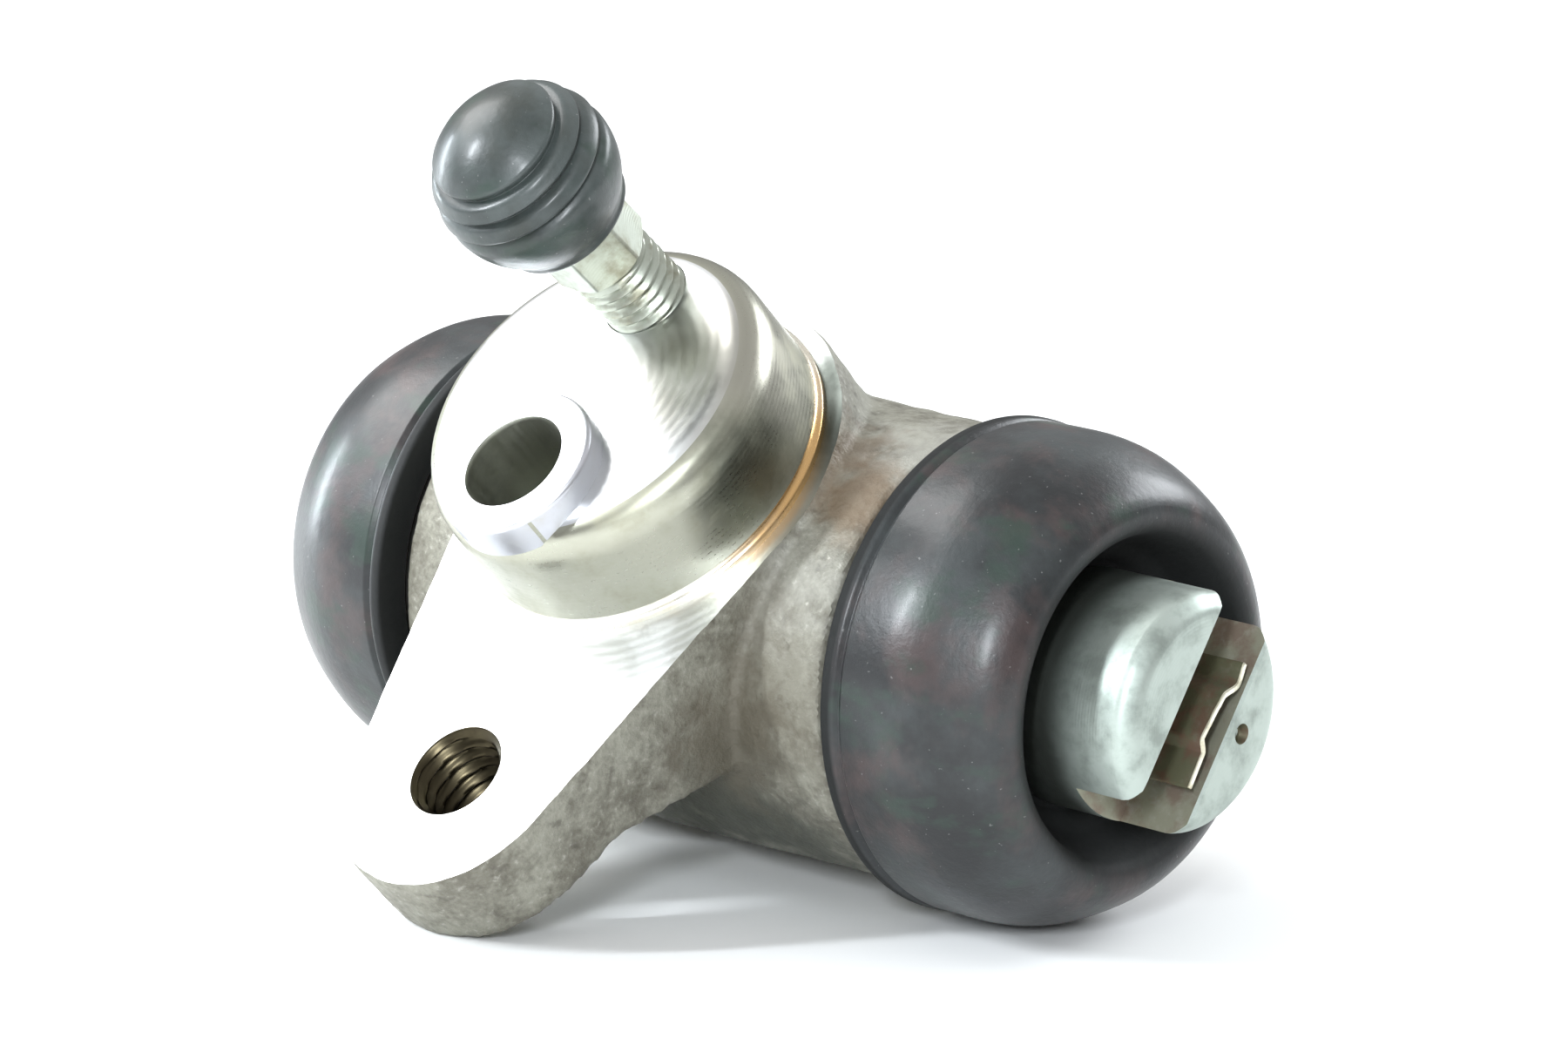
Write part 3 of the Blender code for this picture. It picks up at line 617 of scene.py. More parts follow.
@dataclass
class Placing:
    """The leaning frame of the casting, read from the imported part.

    Attributes:
        bleeder_tilt: The angle between the bleeder and the boss, in degrees.
        bleeder_offset: The bleeder's distance from the middle of the boss.
        boss_top: The height of the boss over the bore's axis.
        slot_turn: The angle of each piston's slot, in degrees.
    """

    bleeder_tilt: float = 5.0
    bleeder_offset: float = 9.0 * MM
    boss_top: float = 28.7 * MM
    slot_turn: dict[Side, float] = field(default_factory=lambda: {Side.RIGHT: 11.3, Side.LEFT: -4.0})

    def __post_init__(self) -> None:
        """Works the casting's matrix out from the boots and the bleeder's joint."""
        low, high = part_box("right_boot")
        middle = (low + high) / 2
        self.origin = Vector((0.0, middle.y, middle.z))
        joint = next(one for one in frame["joints"] if one["name"] == "bleeder_turn")
        lean = math.atan2(-joint["axis"][1], joint["axis"][2]) - math.radians(self.bleeder_tilt)
        self.casting = Matrix.Translation(self.origin) @ Matrix.Rotation(lean, 4, "X")
        self.boss_axis = self.casting.to_3x3() @ Vector((0.0, 0.0, 1.0))
        self.bore_axis = Vector((1.0, 0.0, 0.0))

    def outward(self, side: Side) -> Matrix:
        """Gives the frame whose Z runs out of one end of the bore."""
        return self.casting @ side.outward

    def piston(self, side: Side) -> Matrix:
        """Gives the same frame turned with the piston's slot."""
        return self.outward(side) @ Matrix.Rotation(math.radians(self.slot_turn[side]), 4, "Z")

    def bleeder(self) -> Matrix:
        """Gives the frame on the boss top whose Z runs along the bleeder."""
        lift = Matrix.Translation((0.0, self.bleeder_offset, self.boss_top))
        return self.casting @ lift @ Matrix.Rotation(math.radians(self.bleeder_tilt), 4, "X")


def circle(radius: float, height: float, count: int) -> Ring:
    """Makes a round ring of points.

    Args:
        radius: Its radius. Zero gives a single point.
        height: Its place on the Z axis.
        count: The number of points.

    Returns:
        The ring.
    """
    if radius <= 0.0:
        return [Vector((0.0, 0.0, height))]
    turn = TURN / count
    return [Vector((radius * math.cos(i * turn), radius * math.sin(i * turn), height)) for i in range(count)]


def softened(corners: Sequence[tuple[float, float, float]], steps: int = 4) -> list[tuple[float, float]]:
    """Rounds the corners of a profile.

    Args:
        corners: Points as radius, height and the length of the rounding at that corner.
        steps: The number of pieces in each rounding.

    Returns:
        The profile as pairs of radius and height.
    """
    made: list[tuple[float, float]] = []
    for i, (radius, height, size) in enumerate(corners):
        here = Vector((radius, height))
        if size <= 0.0 or i in (0, len(corners) - 1):
            made.append((radius, height))
            continue
        before = Vector(corners[i - 1][:2]) - here
        after = Vector(corners[i + 1][:2]) - here
        start = here + before.normalized() * min(size, before.length * 0.49)
        end = here + after.normalized() * min(size, after.length * 0.49)
        for k in range(steps + 1):
            share = k / steps
            point = start.lerp(here, share).lerp(here.lerp(end, share), share)
            made.append((point.x, point.y))
    return made


def loft(rings: Sequence[Ring], closed: bool = False) -> bmesh.types.BMesh:
    """Joins rings of points into one skin, with caps at its ends.

    Args:
        rings: The rings, with equal numbers of points or a single point.
        closed: Whether the last ring joins the first one.

    Returns:
        The skin.
    """
    work = bmesh.new()
    rows = [[work.verts.new(point) for point in ring] for ring in rings]
    pairs = list(zip(rows, rows[1:]))
    if closed:
        pairs.append((rows[-1], rows[0]))
    for first, second in pairs:
        count = max(len(first), len(second))
        for i in range(count):
            j = (i + 1) % count
            low = [first[k % len(first)] for k in (i, j)]
            high = [second[k % len(second)] for k in (j, i)]
            work.faces.new(list(dict.fromkeys(low + high)))
    if not closed:
        for row in (rows[0], rows[-1]):
            if len(row) > 2:
                work.faces.new(row)
    bmesh.ops.recalc_face_normals(work, faces=work.faces)
    return work


def moved(skin: bmesh.types.BMesh, matrix: Matrix) -> bmesh.types.BMesh:
    """Moves or turns a skin.

    Args:
        skin: The skin, which is changed.
        matrix: The matrix that moves it.

    Returns:
        The same skin.
    """
    bmesh.ops.transform(skin, verts=skin.verts, matrix=matrix)
    return skin


def turned(corners: Sequence[tuple[float, float, float]], count: int = 160, closed: bool = False,
           steps: int = 4) -> bmesh.types.BMesh:
    """Turns a profile with softened corners about the Z axis.

    Args:
        corners: Points as radius, height and rounding. An open profile is led square to the axis at its ends.
        count: The number of points round the axis.
        closed: Whether the profile joins up into a ring.
        steps: The number of pieces in each rounding.

    Returns:
        The turned skin.
    """
    profile = list(corners)
    if not closed and profile[0][0] > 0.0:
        profile.insert(0, (0.0, profile[0][1], 0.0))
    if not closed and profile[-1][0] > 0.0:
        profile.append((0.0, profile[-1][1], 0.0))
    return loft([circle(r, z, count) for r, z in softened(profile, steps)], closed)


def box(size: tuple[float, float, float], centre: tuple[float, float, float]) -> bmesh.types.BMesh:
    """Makes a box.

    Args:
        size: Its lengths.
        centre: Its middle.

    Returns:
        The box.
    """
    work = bmesh.new()
    bmesh.ops.create_cube(work, size=1.0)
    bmesh.ops.scale(work, vec=size, verts=work.verts)
    bmesh.ops.translate(work, vec=centre, verts=work.verts)
    return work


def prism(outline: Sequence[tuple[float, float]], half: float, along: str = "X") -> bmesh.types.BMesh:
    """Pushes a flat outline both ways along X or Y.

    Args:
        outline: The outline as pairs, the second one along Z.
        half: Half of its length.
        along: The axis that it runs along.

    Returns:
        The prism.
    """
    if along == "X":
        return loft([[Vector((end, a, b)) for a, b in outline] for end in (-half, half)])
    return loft([[Vector((a, end, b)) for a, b in outline] for end in (-half, half)])


class Workpiece:
    """One mesh object that is built up by joining, cutting and smoothing."""

    def __init__(self, name: str, skin: bmesh.types.BMesh) -> None:
        """Starts the piece from a skin.

        Args:
            name: The piece's name.
            skin: Its first skin, which is used up.
        """
        mesh = bpy.data.meshes.new(name)
        skin.to_mesh(mesh)
        skin.free()
        self.made = bpy.data.objects.new(name, mesh)
        bpy.context.scene.collection.objects.link(self.made)

    def bake(self) -> None:
        """Turns the modifiers into the mesh."""
        graph = bpy.context.evaluated_depsgraph_get()
        graph.update()
        mesh = bpy.data.meshes.new_from_object(self.made.evaluated_get(graph))
        self.made.modifiers.clear()
        old = self.made.data
        self.made.data = mesh
        bpy.data.meshes.remove(old)

    def combine(self, operation: str, *skins: bmesh.types.BMesh) -> "Workpiece":
        """Joins or cuts with other skins.

        Args:
            operation: UNION, DIFFERENCE or INTERSECT.
            skins: The other skins, which are used up.

        Returns:
            This piece.
        """
        others = [Workpiece("tool", skin) for skin in skins]
        for other in others:
            step = self.made.modifiers.new("cut", "BOOLEAN")
            step.operation = operation
            step.solver = "MANIFOLD"
            step.object = other.made
        self.bake()
        for other in others:
            bpy.data.objects.remove(other.made, do_unlink=True)
        return self

    def remesh(self, size: float, rounds: int) -> "Workpiece":
        """Melts the piece into one even skin, as a casting is.

        Args:
            size: The size of the new faces.
            rounds: The number of smoothing rounds.

        Returns:
            This piece.
        """
        melt = self.made.modifiers.new("melt", "REMESH")
        melt.mode = "VOXEL"
        melt.voxel_size = size
        soften = self.made.modifiers.new("soften", "SMOOTH")
        soften.factor = 0.5
        soften.iterations = rounds
        self.bake()
        return self

    def settle(self, matrix: Matrix, sharp: float = 35.0) -> "Workpiece":
        """Puts the piece in its place and shades it.

        Args:
            matrix: The matrix from the piece's own frame.
            sharp: The angle in degrees above which an edge stays sharp.

        Returns:
            This piece.
        """
        self.made.data.transform(matrix)
        self.made.data.shade_smooth()
        self.made.data.set_sharp_from_angle(angle=math.radians(sharp))
        return self

    def dress(self, *materials: bpy.types.Material) -> "Workpiece":
        """Gives the piece its materials.

        Args:
            materials: The materials in the order of their slots.

        Returns:
            This piece.
        """
        self.made.data.materials.clear()
        for one in materials:
            self.made.data.materials.append(one)
        return self

    def zone(self, choose: Callable[[Vector, Vector], int], matrix: Matrix) -> "Workpiece":
        """Gives each face the material of its zone.

        Args:
            choose: Gives a slot from a face's middle in millimetres and its normal, both in its own frame.
            matrix: The matrix from that frame.

        Returns:
            This piece.
        """
        back = matrix.inverted()
        turn = back.to_3x3()
        for face in self.made.data.polygons:
            face.material_index = choose(back @ face.center / MM, turn @ face.normal)
        return self


@dataclass
class Thread:
    """A screw thread as a closed sleeve or rod.

    Attributes:
        root: The radius at the thread's inner edge.
        crest: The radius at its outer edge.
        pitch: The rise of one turn.
        start: The low end.
        end: The high end.
        count: The number of points round it.
        rows: The number of rows in one turn's rise.
    """

    root: float
    crest: float
    pitch: float
    start: float
    end: float
    count: int = 96
    rows: int = 10

    def radius(self, height: float, angle: float) -> float:
        """Gives the thread's radius.

        Args:
            height: The place along the axis.
            angle: The place round it in radians.

        Returns:
            The radius, flattened a little at its root and crest.
        """
        share = (height / self.pitch - angle / TURN) % 1.0
        ridge = 1.0 - abs(2.0 * share - 1.0)
        return self.root + (self.crest - self.root) * min(max(1.3 * ridge - 0.15, 0.0), 1.0)

    def ring(self, height: float, limit: Callable[[float], float]) -> Ring:
        """Gives one ring of the thread.

        Args:
            height: The ring's place.
            limit: Keeps a radius within what the thread's ends allow.

        Returns:
            The ring.
        """
        turn = TURN / self.count
        radii = [limit(self.radius(height, i * turn)) for i in range(self.count)]
        return [Vector((r * math.cos(i * turn), r * math.sin(i * turn), height)) for i, r in enumerate(radii)]

    def heights(self) -> list[float]:
        """Gives the places of the rows."""
        steps = round((self.end - self.start) / self.pitch * self.rows)
        return [self.start + (self.end - self.start) * i / steps for i in range(steps + 1)]

    def rod(self, neck: float) -> list[Ring]:
        """Gives the rings of an outer thread that fades into its neck at both ends.

        Args:
            neck: The radius at the ends.

        Returns:
            The rings.
        """
        rings = []
        for height in self.heights():
            room = min(height - self.start, self.end - height)
            rings.append(self.ring(height, lambda r, room=room: min(r, neck + room)))
        return rings

    def sleeve(self, wall: float, mouths: float) -> bmesh.types.BMesh:
        """Makes an inner thread as a sleeve with countersunk ends.

        Args:
            wall: The sleeve's outer radius.
            mouths: The radius at its ends.

        Returns:
            The sleeve's skin.
        """
        rings = []
        for height in self.heights():
            room = min(height - self.start, self.end - height)
            rings.append(self.ring(height, lambda r, room=room: max(r, mouths - room)))
        rings += [circle(wall, self.end, self.count), circle(wall, self.start, self.count)]
        return loft(rings, closed=True)


class Assembly(Protocol):
    """A sub-assembly that builds and dresses its own pieces."""

    def dress(self) -> list[bpy.types.Object]:
        """Builds the pieces with their finishes and gives them back."""


@dataclass
class Casting:
    """The cast body with its boss, sealing ring, ear, bore and threaded holes."""

    placing: Placing
    barrel_middle: float = 18.3 * MM
    barrel_end: float = 17.8 * MM
    bore: float = 11.1 * MM
    collar_start: float = 22.6 * MM
    collar_groove: float = 15.9 * MM
    groove_end: float = 26.4 * MM
    flange: float = 17.1 * MM
    half_length: float = 29.0 * MM
    face: float = 18.4 * MM
    pad: float = 16.8 * MM
    pad_edge: float = 0.7 * MM
    pad_bottom: float = 1.0 * MM
    ear_offset: float = 28.8 * MM
    ear_tip: float = 10.4 * MM
    ear_thickness: float = 7.5 * MM
    underside: float = 12.0 * MM
    tip_flat: float = 0.8 * MM
    gusset_foot: float = 5.9 * MM
    boss: float = 14.7 * MM
    boss_draft: float = 0.2 * MM
    boss_fillet: float = 3.2 * MM
    foot: float = 15.3 * MM
    foot_height: float = 0.5 * MM
    port_offset: float = 8.5 * MM
    port: float = 4.1 * MM
    port_ring: float = 6.6 * MM
    port_height: float = 2.1 * MM
    port_depth: float = 14.0 * MM
    passage: float = 1.6 * MM
    passage_start: float = 16.0 * MM
    mouth: float = 1.6 * MM
    bleeder_hole: float = 3.55 * MM
    bleeder_seat: float = 8.2 * MM
    bleeder_point: float = 10.4 * MM
    ear_thread_root: float = 3.35 * MM
    ear_thread_crest: float = 4.0 * MM
    ear_thread_pitch: float = 1.25 * MM
    skin_size: float = 0.42 * MM
    skin_grain: float = 0.10 * MM
    milled_off: float = 1.5 * MM

    def pear(self, inset: float, height: float) -> Ring:
        """Gives the pad's outline: two arcs joined by tangents.

        Args:
            inset: How far inside the true outline the ring lies.
            height: The ring's place along the boss.

        Returns:
            The ring.
        """
        lean = math.asin((self.pad - self.ear_tip) / self.ear_offset)
        ring = []
        for centre, radius, start, end, steps in (
                (0.0, self.pad - inset, -lean, math.pi + lean, 72),
                (-self.ear_offset, self.ear_tip - inset, math.pi + lean, TURN - lean, 40)):
            for i in range(steps + 1):
                angle = start + (end - start) * i / steps
                ring.append(Vector((radius * math.cos(angle), centre + radius * math.sin(angle), height)))
        return ring

    def raw(self) -> Workpiece:
        """Makes the rough casting as one melted skin, cut flat at the milled face.

        Returns:
            The casting without its worked shapes.
        """
        rings = [
            self.pear(0.0, self.pad_bottom),
            self.pear(0.0, self.face - 0.8 * self.pad_edge),
            self.pear(0.1 * self.pad_edge, self.face - 0.3 * self.pad_edge),
            self.pear(0.25 * self.pad_edge, self.face),
            self.pear(0.7 * self.pad_edge, self.face + self.milled_off),
        ]
        plate = self.face - self.ear_thickness
        tip = -(self.ear_offset + self.ear_tip)
        over = 2 * MM
        reach = math.sqrt(self.barrel_end ** 2 - self.gusset_foot ** 2) - 0.5 * MM
        under = prism([
            (tip + self.tip_flat, plate),
            (tip - over, plate + self.tip_flat + over),
            (tip - over, -over),
            (-reach, -over),
            (-reach, self.gusset_foot),
            (tip + self.underside, plate),
        ], self.half_length)
        body = Workpiece("cylinder_casting", loft(rings)).combine("DIFFERENCE", under)
        end = self.collar_start
        barrel = turned([
            (self.barrel_end, -end, 0.6 * MM),
            (self.barrel_middle, 0.0, 4 * MM),
            (self.barrel_end, end, 0.6 * MM),
        ])
        body.combine("UNION", moved(barrel, Side.RIGHT.outward)).remesh(self.skin_size, 5)
        self.roughen(body)
        mill = 8 * self.pad
        return body.combine("DIFFERENCE", box((mill, mill, mill), (0.0, 0.0, self.face + mill / 2)))

    def roughen(self, body: Workpiece) -> None:
        """Gives the skin the shallow unevenness of sand casting.

        Args:
            body: The rough casting.
        """
        mesh = body.made.data
        places: list[float] = []
        for vert in mesh.vertices:
            swell = noise.fractal(vert.co / (2.6 * MM), 0.9, 2.0, 3)
            places.extend(vert.co + vert.normal * (swell * self.skin_grain))
        mesh.vertices.foreach_set("co", places)
        mesh.update()

    def collar(self, side: Side) -> bmesh.types.BMesh:
        """Makes one turned end with the boot's groove.

        Args:
            side: The end of the bore.

        Returns:
            The end's skin.
        """
        sunk = self.collar_start - 2 * MM
        skin = turned([
            (self.collar_groove, sunk, 0.0),
            (self.collar_groove, self.groove_end, 0.25 * MM),
            (self.flange, self.groove_end, 0.2 * MM),
            (self.flange, self.half_length, 0.5 * MM),
        ])
        return moved(skin, side.outward)

    def build(self) -> Workpiece:
        """Joins the worked shapes to the rough casting and cuts every hole.

        Returns:
            The finished casting in its own frame.
        """
        top = self.placing.boss_top
        port_top = top + self.port_height
        at_port = Matrix.Translation((0.0, -self.port_offset, 0.0))
        at_ear = Matrix.Translation((0.0, -self.ear_offset, 0.0))
        body = self.raw()
        boss = turned([
            (self.foot, self.face - MM, 0.0),
            (self.foot, self.face + self.foot_height, 0.18 * MM),
            (self.boss + self.boss_draft, self.face + 1.7 * self.foot_height, 0.3 * MM),
            (self.boss, top, self.boss_fillet),
        ], 256, steps=10)
        ring = turned([
            (self.port_ring, top - MM, 0.0),
            (self.port_ring, port_top, 0.45 * MM),
        ], 128)
        body.combine("UNION", boss, moved(ring, at_port), self.collar(Side.RIGHT), self.collar(Side.LEFT))

        reach = self.half_length + MM
        bore = turned([
            (self.bore + self.mouth, -reach, 0.0),
            (self.bore, -reach + self.mouth, 0.0),
            (self.bore, reach - self.mouth, 0.0),
            (self.bore + self.mouth, reach, 0.0),
        ])
        bottom = math.sqrt(self.bore ** 2 - self.port_offset ** 2) - 3 * MM
        port = turned([
            (self.passage, bottom, 0.0),
            (self.passage, port_top - self.passage_start, 0.0),
            (self.port, port_top - self.port_depth, 0.0),
            (self.port, port_top, 0.45 * MM),
            (self.port + 1.2 * MM, port_top + MM, 0.0),
        ], 96)
        crest, low, high = self.ear_thread_crest, self.pad_bottom, self.face + MM
        hole = turned([(crest, low, 0.0), (crest, high, 0.0)], 96)
        width = self.bleeder_hole
        screw = turned([
            (0.0, -self.bleeder_point, 0.0),
            (width, -self.bleeder_seat, 0.0),
            (width, MM, 0.0),
        ], 64)
        at_bleeder = self.placing.casting.inverted() @ self.placing.bleeder()
        return body.combine("DIFFERENCE", moved(bore, Side.RIGHT.outward), moved(port, at_port),
                            moved(hole, at_ear), moved(screw, at_bleeder))

    def choose(self, spot: Vector, normal: Vector) -> int:
        """Gives the zone of a face.

        Args:
            spot: The face's middle in millimetres.
            normal: Its normal.

        Returns:
            The material slot.
        """
        face, top = self.face / MM, self.placing.boss_top / MM
        from_boss = math.hypot(spot.x, spot.y)
        from_port = math.hypot(spot.x, spot.y + self.port_offset / MM)
        if math.hypot(spot.y, spot.z) < self.bore / MM + 1.2 and abs(spot.x) < self.half_length / MM:
            return Zone.BORED.value
        if from_port < self.port / MM + 0.1 and spot.z > 0.0:
            return Zone.BORED.value
        if abs(spot.x) > self.collar_start / MM + 0.1:
            return Zone.COLLAR.value
        if abs(spot.z - face) < 0.02 and normal.z > 0.99:
            return Zone.MILLED.value
        if spot.z > face + 0.1 and from_boss < self.foot / MM + 0.2:
            if spot.z < face + 2.2 * self.foot_height / MM and from_boss > self.boss / MM:
                return Zone.FOOT_EDGE.value
            if spot.z > top + 0.02:
                return Zone.SEAL_RING.value
            return Zone.MILLED.value if normal.z > 0.9 and spot.z > top - 0.4 else Zone.TURNED.value
        return Zone.CAST.value

    def spot(self, x: float, y: float, z: float) -> Vector:
        """Gives a point of the casting's frame in millimetres, in the part's frame."""
        return self.placing.casting @ Vector((x * MM, y * MM, z * MM))

    def surface(self, x: float, angle: float) -> Vector:
        """Gives a point on the barrel in the part's frame.

        Args:
            x: Its place along the bore in millimetres.
            angle: Its angle about the bore in degrees, from the boss towards the back.

        Returns:
            The point.
        """
        turn = math.radians(angle)
        radius = self.barrel_end / MM
        return self.spot(x, radius * math.sin(turn), radius * math.cos(turn))

    def dress(self) -> list[bpy.types.Object]:
        """Builds the casting and the thread in its ear with their finishes.

        Returns:
            The casting and the thread.
        """
        where = self.placing
        axis, bore = where.boss_axis, where.bore_axis
        # The dark colour is painted shadow and the pale one a painted highlight; rust is a stain.
        rust, painted_shadow, pale = (0.17, 0.115, 0.068), (0.040, 0.043, 0.030), (0.50, 0.50, 0.45)
        # A dark brown used for grime on the barrel and as painted shade where the gusset and the pad meet the
        # barrel.
        grime_and_shade = (0.105, 0.092, 0.066)
        barrel_marks = (
            # The two pale marks are painted highlights on the barrel's top near the boot.
            (18.0, -20.0, 6.0, pale, 0.22, 1.2),
            (19.0, -48.0, 7.0, grime_and_shade, 0.45, 1.2),
            (21.5, 30.0, 6.0, pale, 0.45, 1.0),
            (20.0, 6.0, 5.0, rust, 0.7, 0.5),
            (16.0, 20.0, 4.5, rust, 0.45, 0.8),
            # Painted shadow on the barrel under the gusset and the ear.
            (8.5, -90.0, 9.0, painted_shadow, 0.85, 0.8),
            (15.0, -97.0, 7.5, painted_shadow, 0.8, 0.8),
            (0.0, -97.0, 8.5, painted_shadow, 0.8, 0.8),
            (11.0, -70.0, 7.0, painted_shadow, 0.7, 0.8),
        )
        patches = [ColourPatch(self.surface(x, angle), reach * MM, *look) for x, angle, reach, *look in barrel_marks]
        # Painted shade where the gusset's and the pad's sides meet the barrel.
        patches.append(ColourPatch(self.spot(12.5, -15.0, 9.0), 8.5 * MM, grime_and_shade, 0.75, 0.6))
        patches.append(ColourPatch(self.spot(15.5, -8.0, 14.0), 5.0 * MM, grime_and_shade, 0.6, 0.6))
        # Painted shade on the boss top beside the bleeder, which also darkens the top of the boss's side.
        painted_bleeder_shade = ColourPatch(self.spot(9.5, 4.5, 28.7), 9.5 * MM, (0.38, 0.37, 0.32), 0.8, 0.25)
        # Painted shadow of the boss, nearly black, on the milled face's far rim.
        painted_boss_shadow = ColourPatch(self.spot(13.5, 9.5, 18.4), 11.0 * MM, (0.075, 0.088, 0.076), 0.95, 0.15)
        blotch = ColourPatch(self.spot(14.5, -1.0, 24.0), 6.0 * MM, (0.19, 0.20, 0.155), 0.75, 0.5)
        gilt = ColourPatch(self.spot(15.3, 3.0, 19.0), 13.0 * MM, (0.62, 0.36, 0.12), 0.9, 0.3)
        finishes = [
            CastSkin(patches=tuple(patches)).make(),
            MachinedSteel("milled_face", where.origin, axis, (0.74, 0.75, 0.75), (0.56, 0.57, 0.555),
                          rough=0.27, pitch=0.9, patches=(painted_bleeder_shade, painted_boss_shadow)).make(),
            MachinedSteel("turned_boss", where.origin, axis, (0.41, 0.41, 0.34), (0.28, 0.27, 0.19),
                          rough=0.25, pitch=0.45, rings_along=True, depth=0.0025 * MM,
                          patches=(painted_bleeder_shade, blotch)).make(),
            MachinedSteel("foot_edge", where.origin, axis, (0.90, 0.88, 0.78), (0.60, 0.48, 0.30),
                          pitch=0.3, patches=(gilt,)).make(),
            MachinedSteel("honed_bore", where.origin, bore, (0.50, 0.51, 0.45), (0.27, 0.275, 0.225),
                          rough=0.32, pitch=0.5, rings_along=True).make(),
            MachinedSteel("turned_collar", where.origin, bore, (0.45, 0.44, 0.40), (0.20, 0.19, 0.16),
                          rough=0.30, pitch=0.4, rings_along=True).make(),
            MachinedSteel("seal_ring_face", self.spot(0.0, -self.port_offset / MM, 28.7), axis,
                          (0.60, 0.61, 0.65), (0.50, 0.48, 0.42), rough=0.30, pitch=0.4).make(),
        ]
        body = self.build().settle(where.casting, 32.0).dress(*finishes).zone(self.choose, where.casting)
        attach(body.made, "cylinder")
        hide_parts("cylinder_body")

        shy = 0.02 * MM
        crest = self.ear_thread_crest
        thread = Thread(self.ear_thread_root, crest, self.ear_thread_pitch,
                        self.face - self.ear_thickness + shy, self.face - shy)
        sleeve = Workpiece("ear_thread", thread.sleeve(crest + 3 * shy, crest))
        at_ear = where.casting @ Matrix.Translation((0.0, -self.ear_offset, 0.0))
        # The thread is painted nearly black, as painted shade inside the ear's hole.
        cut = MachinedSteel("cut_thread", at_ear.translation, axis, (0.055, 0.046, 0.028),
                            (0.012, 0.009, 0.006), rough=0.26, rings_along=True, tarnish=0.9)
        sleeve.settle(at_ear, 50.0).dress(cut.make())
        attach(sleeve.made, "cylinder")
        return [body.made, sleeve.made]


@dataclass
class Bleeder:
    """The bleeder screw: thread, hexagon and hose nipple."""

    placing: Placing
    thread_root: float = 2.95 * MM
    thread_crest: float = 3.48 * MM
    pitch: float = 1.0 * MM
    thread_start: float = -7.2 * MM
    hex_bottom: float = 5.9 * MM
    hex_height: float = 5.1 * MM
    flats: float = 7.0 * MM
    nipple_neck: float = 2.3 * MM
    nipple_barb: float = 3.1 * MM
    nipple_length: float = 8.6 * MM
    barb_height: float = 2.6 * MM
    bore: float = 0.9 * MM
    chamfer: float = 0.15 * MM
    flank: float = 0.55 * MM

    def hexagon(self) -> Workpiece:
        """Makes the hexagon with turned chamfers at its ends.

        Returns:
            The hexagon.
        """
        corner = self.flats / 2 / math.cos(math.pi / 6)
        top = self.hex_bottom + self.hex_height
        ends = [circle(corner, height, 6) for height in (self.hex_bottom, top)]
        piece = Workpiece("bleeder_screw_body", loft(ends))
        bevel = piece.made.modifiers.new("edges", "BEVEL")
        bevel.width = 0.18 * MM
        bevel.segments = 3
        piece.bake()
        rim = self.flats / 2 - self.chamfer
        shape = turned([
            (0.0, self.hex_bottom - MM, 0.0),
            (rim, self.hex_bottom - 0.01 * MM, 0.0),
            (corner, self.hex_bottom + self.flank, 0.1 * MM),
            (corner, top - self.flank, 0.1 * MM),
            (rim, top + 0.01 * MM, 0.0),
            (0.0, top + MM, 0.0),
        ], 96)
        return piece.combine("INTERSECT", shape)

    def dress(self) -> list[bpy.types.Object]:
        """Builds the bleeder with its finish.

        Returns:
            The bleeder alone.
        """
        thread = Thread(self.thread_root, self.thread_crest, self.pitch,
                        self.thread_start, self.hex_bottom - 0.1 * MM)
        shank = [circle(0.0, -9.4 * MM, 96), circle(1.8 * MM, -9.0 * MM, 96), circle(2.5 * MM, -8.0 * MM, 96)]
        shank += thread.rod(self.thread_root)
        top = self.hex_bottom + self.hex_height
        shank += [circle(self.thread_root, self.hex_bottom + MM, 96), circle(0.0, self.hex_bottom + MM, 96)]
        barb = top + self.barb_height
        nipple = turned([
            (self.nipple_neck, top - MM, 0.0),
            (self.nipple_neck, barb, 0.2 * MM),
            (self.nipple_barb, barb, 0.1 * MM),
            (self.nipple_barb, barb + MM, 0.2 * MM),
            (2.1 * MM, top + self.nipple_length, 0.2 * MM),
            (self.bore, top + self.nipple_length, 0.1 * MM),
            (self.bore, top + MM, 0.0),
        ], 64)
        screw = self.hexagon().combine("UNION", loft(shank), nipple)
        where = self.placing.bleeder()
        plate = ZincPlate("bleeder_plate", where.translation, where.to_3x3() @ Vector((0.0, 0.0, 1.0)),
                          pale=(0.42, 0.45, 0.39), worn=(0.24, 0.235, 0.175), rough=0.25)
        screw.settle(where, 30.0).dress(plate.make())
        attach(screw.made, "bleeder")
        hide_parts("bleeder_screw")
        return [screw.made]


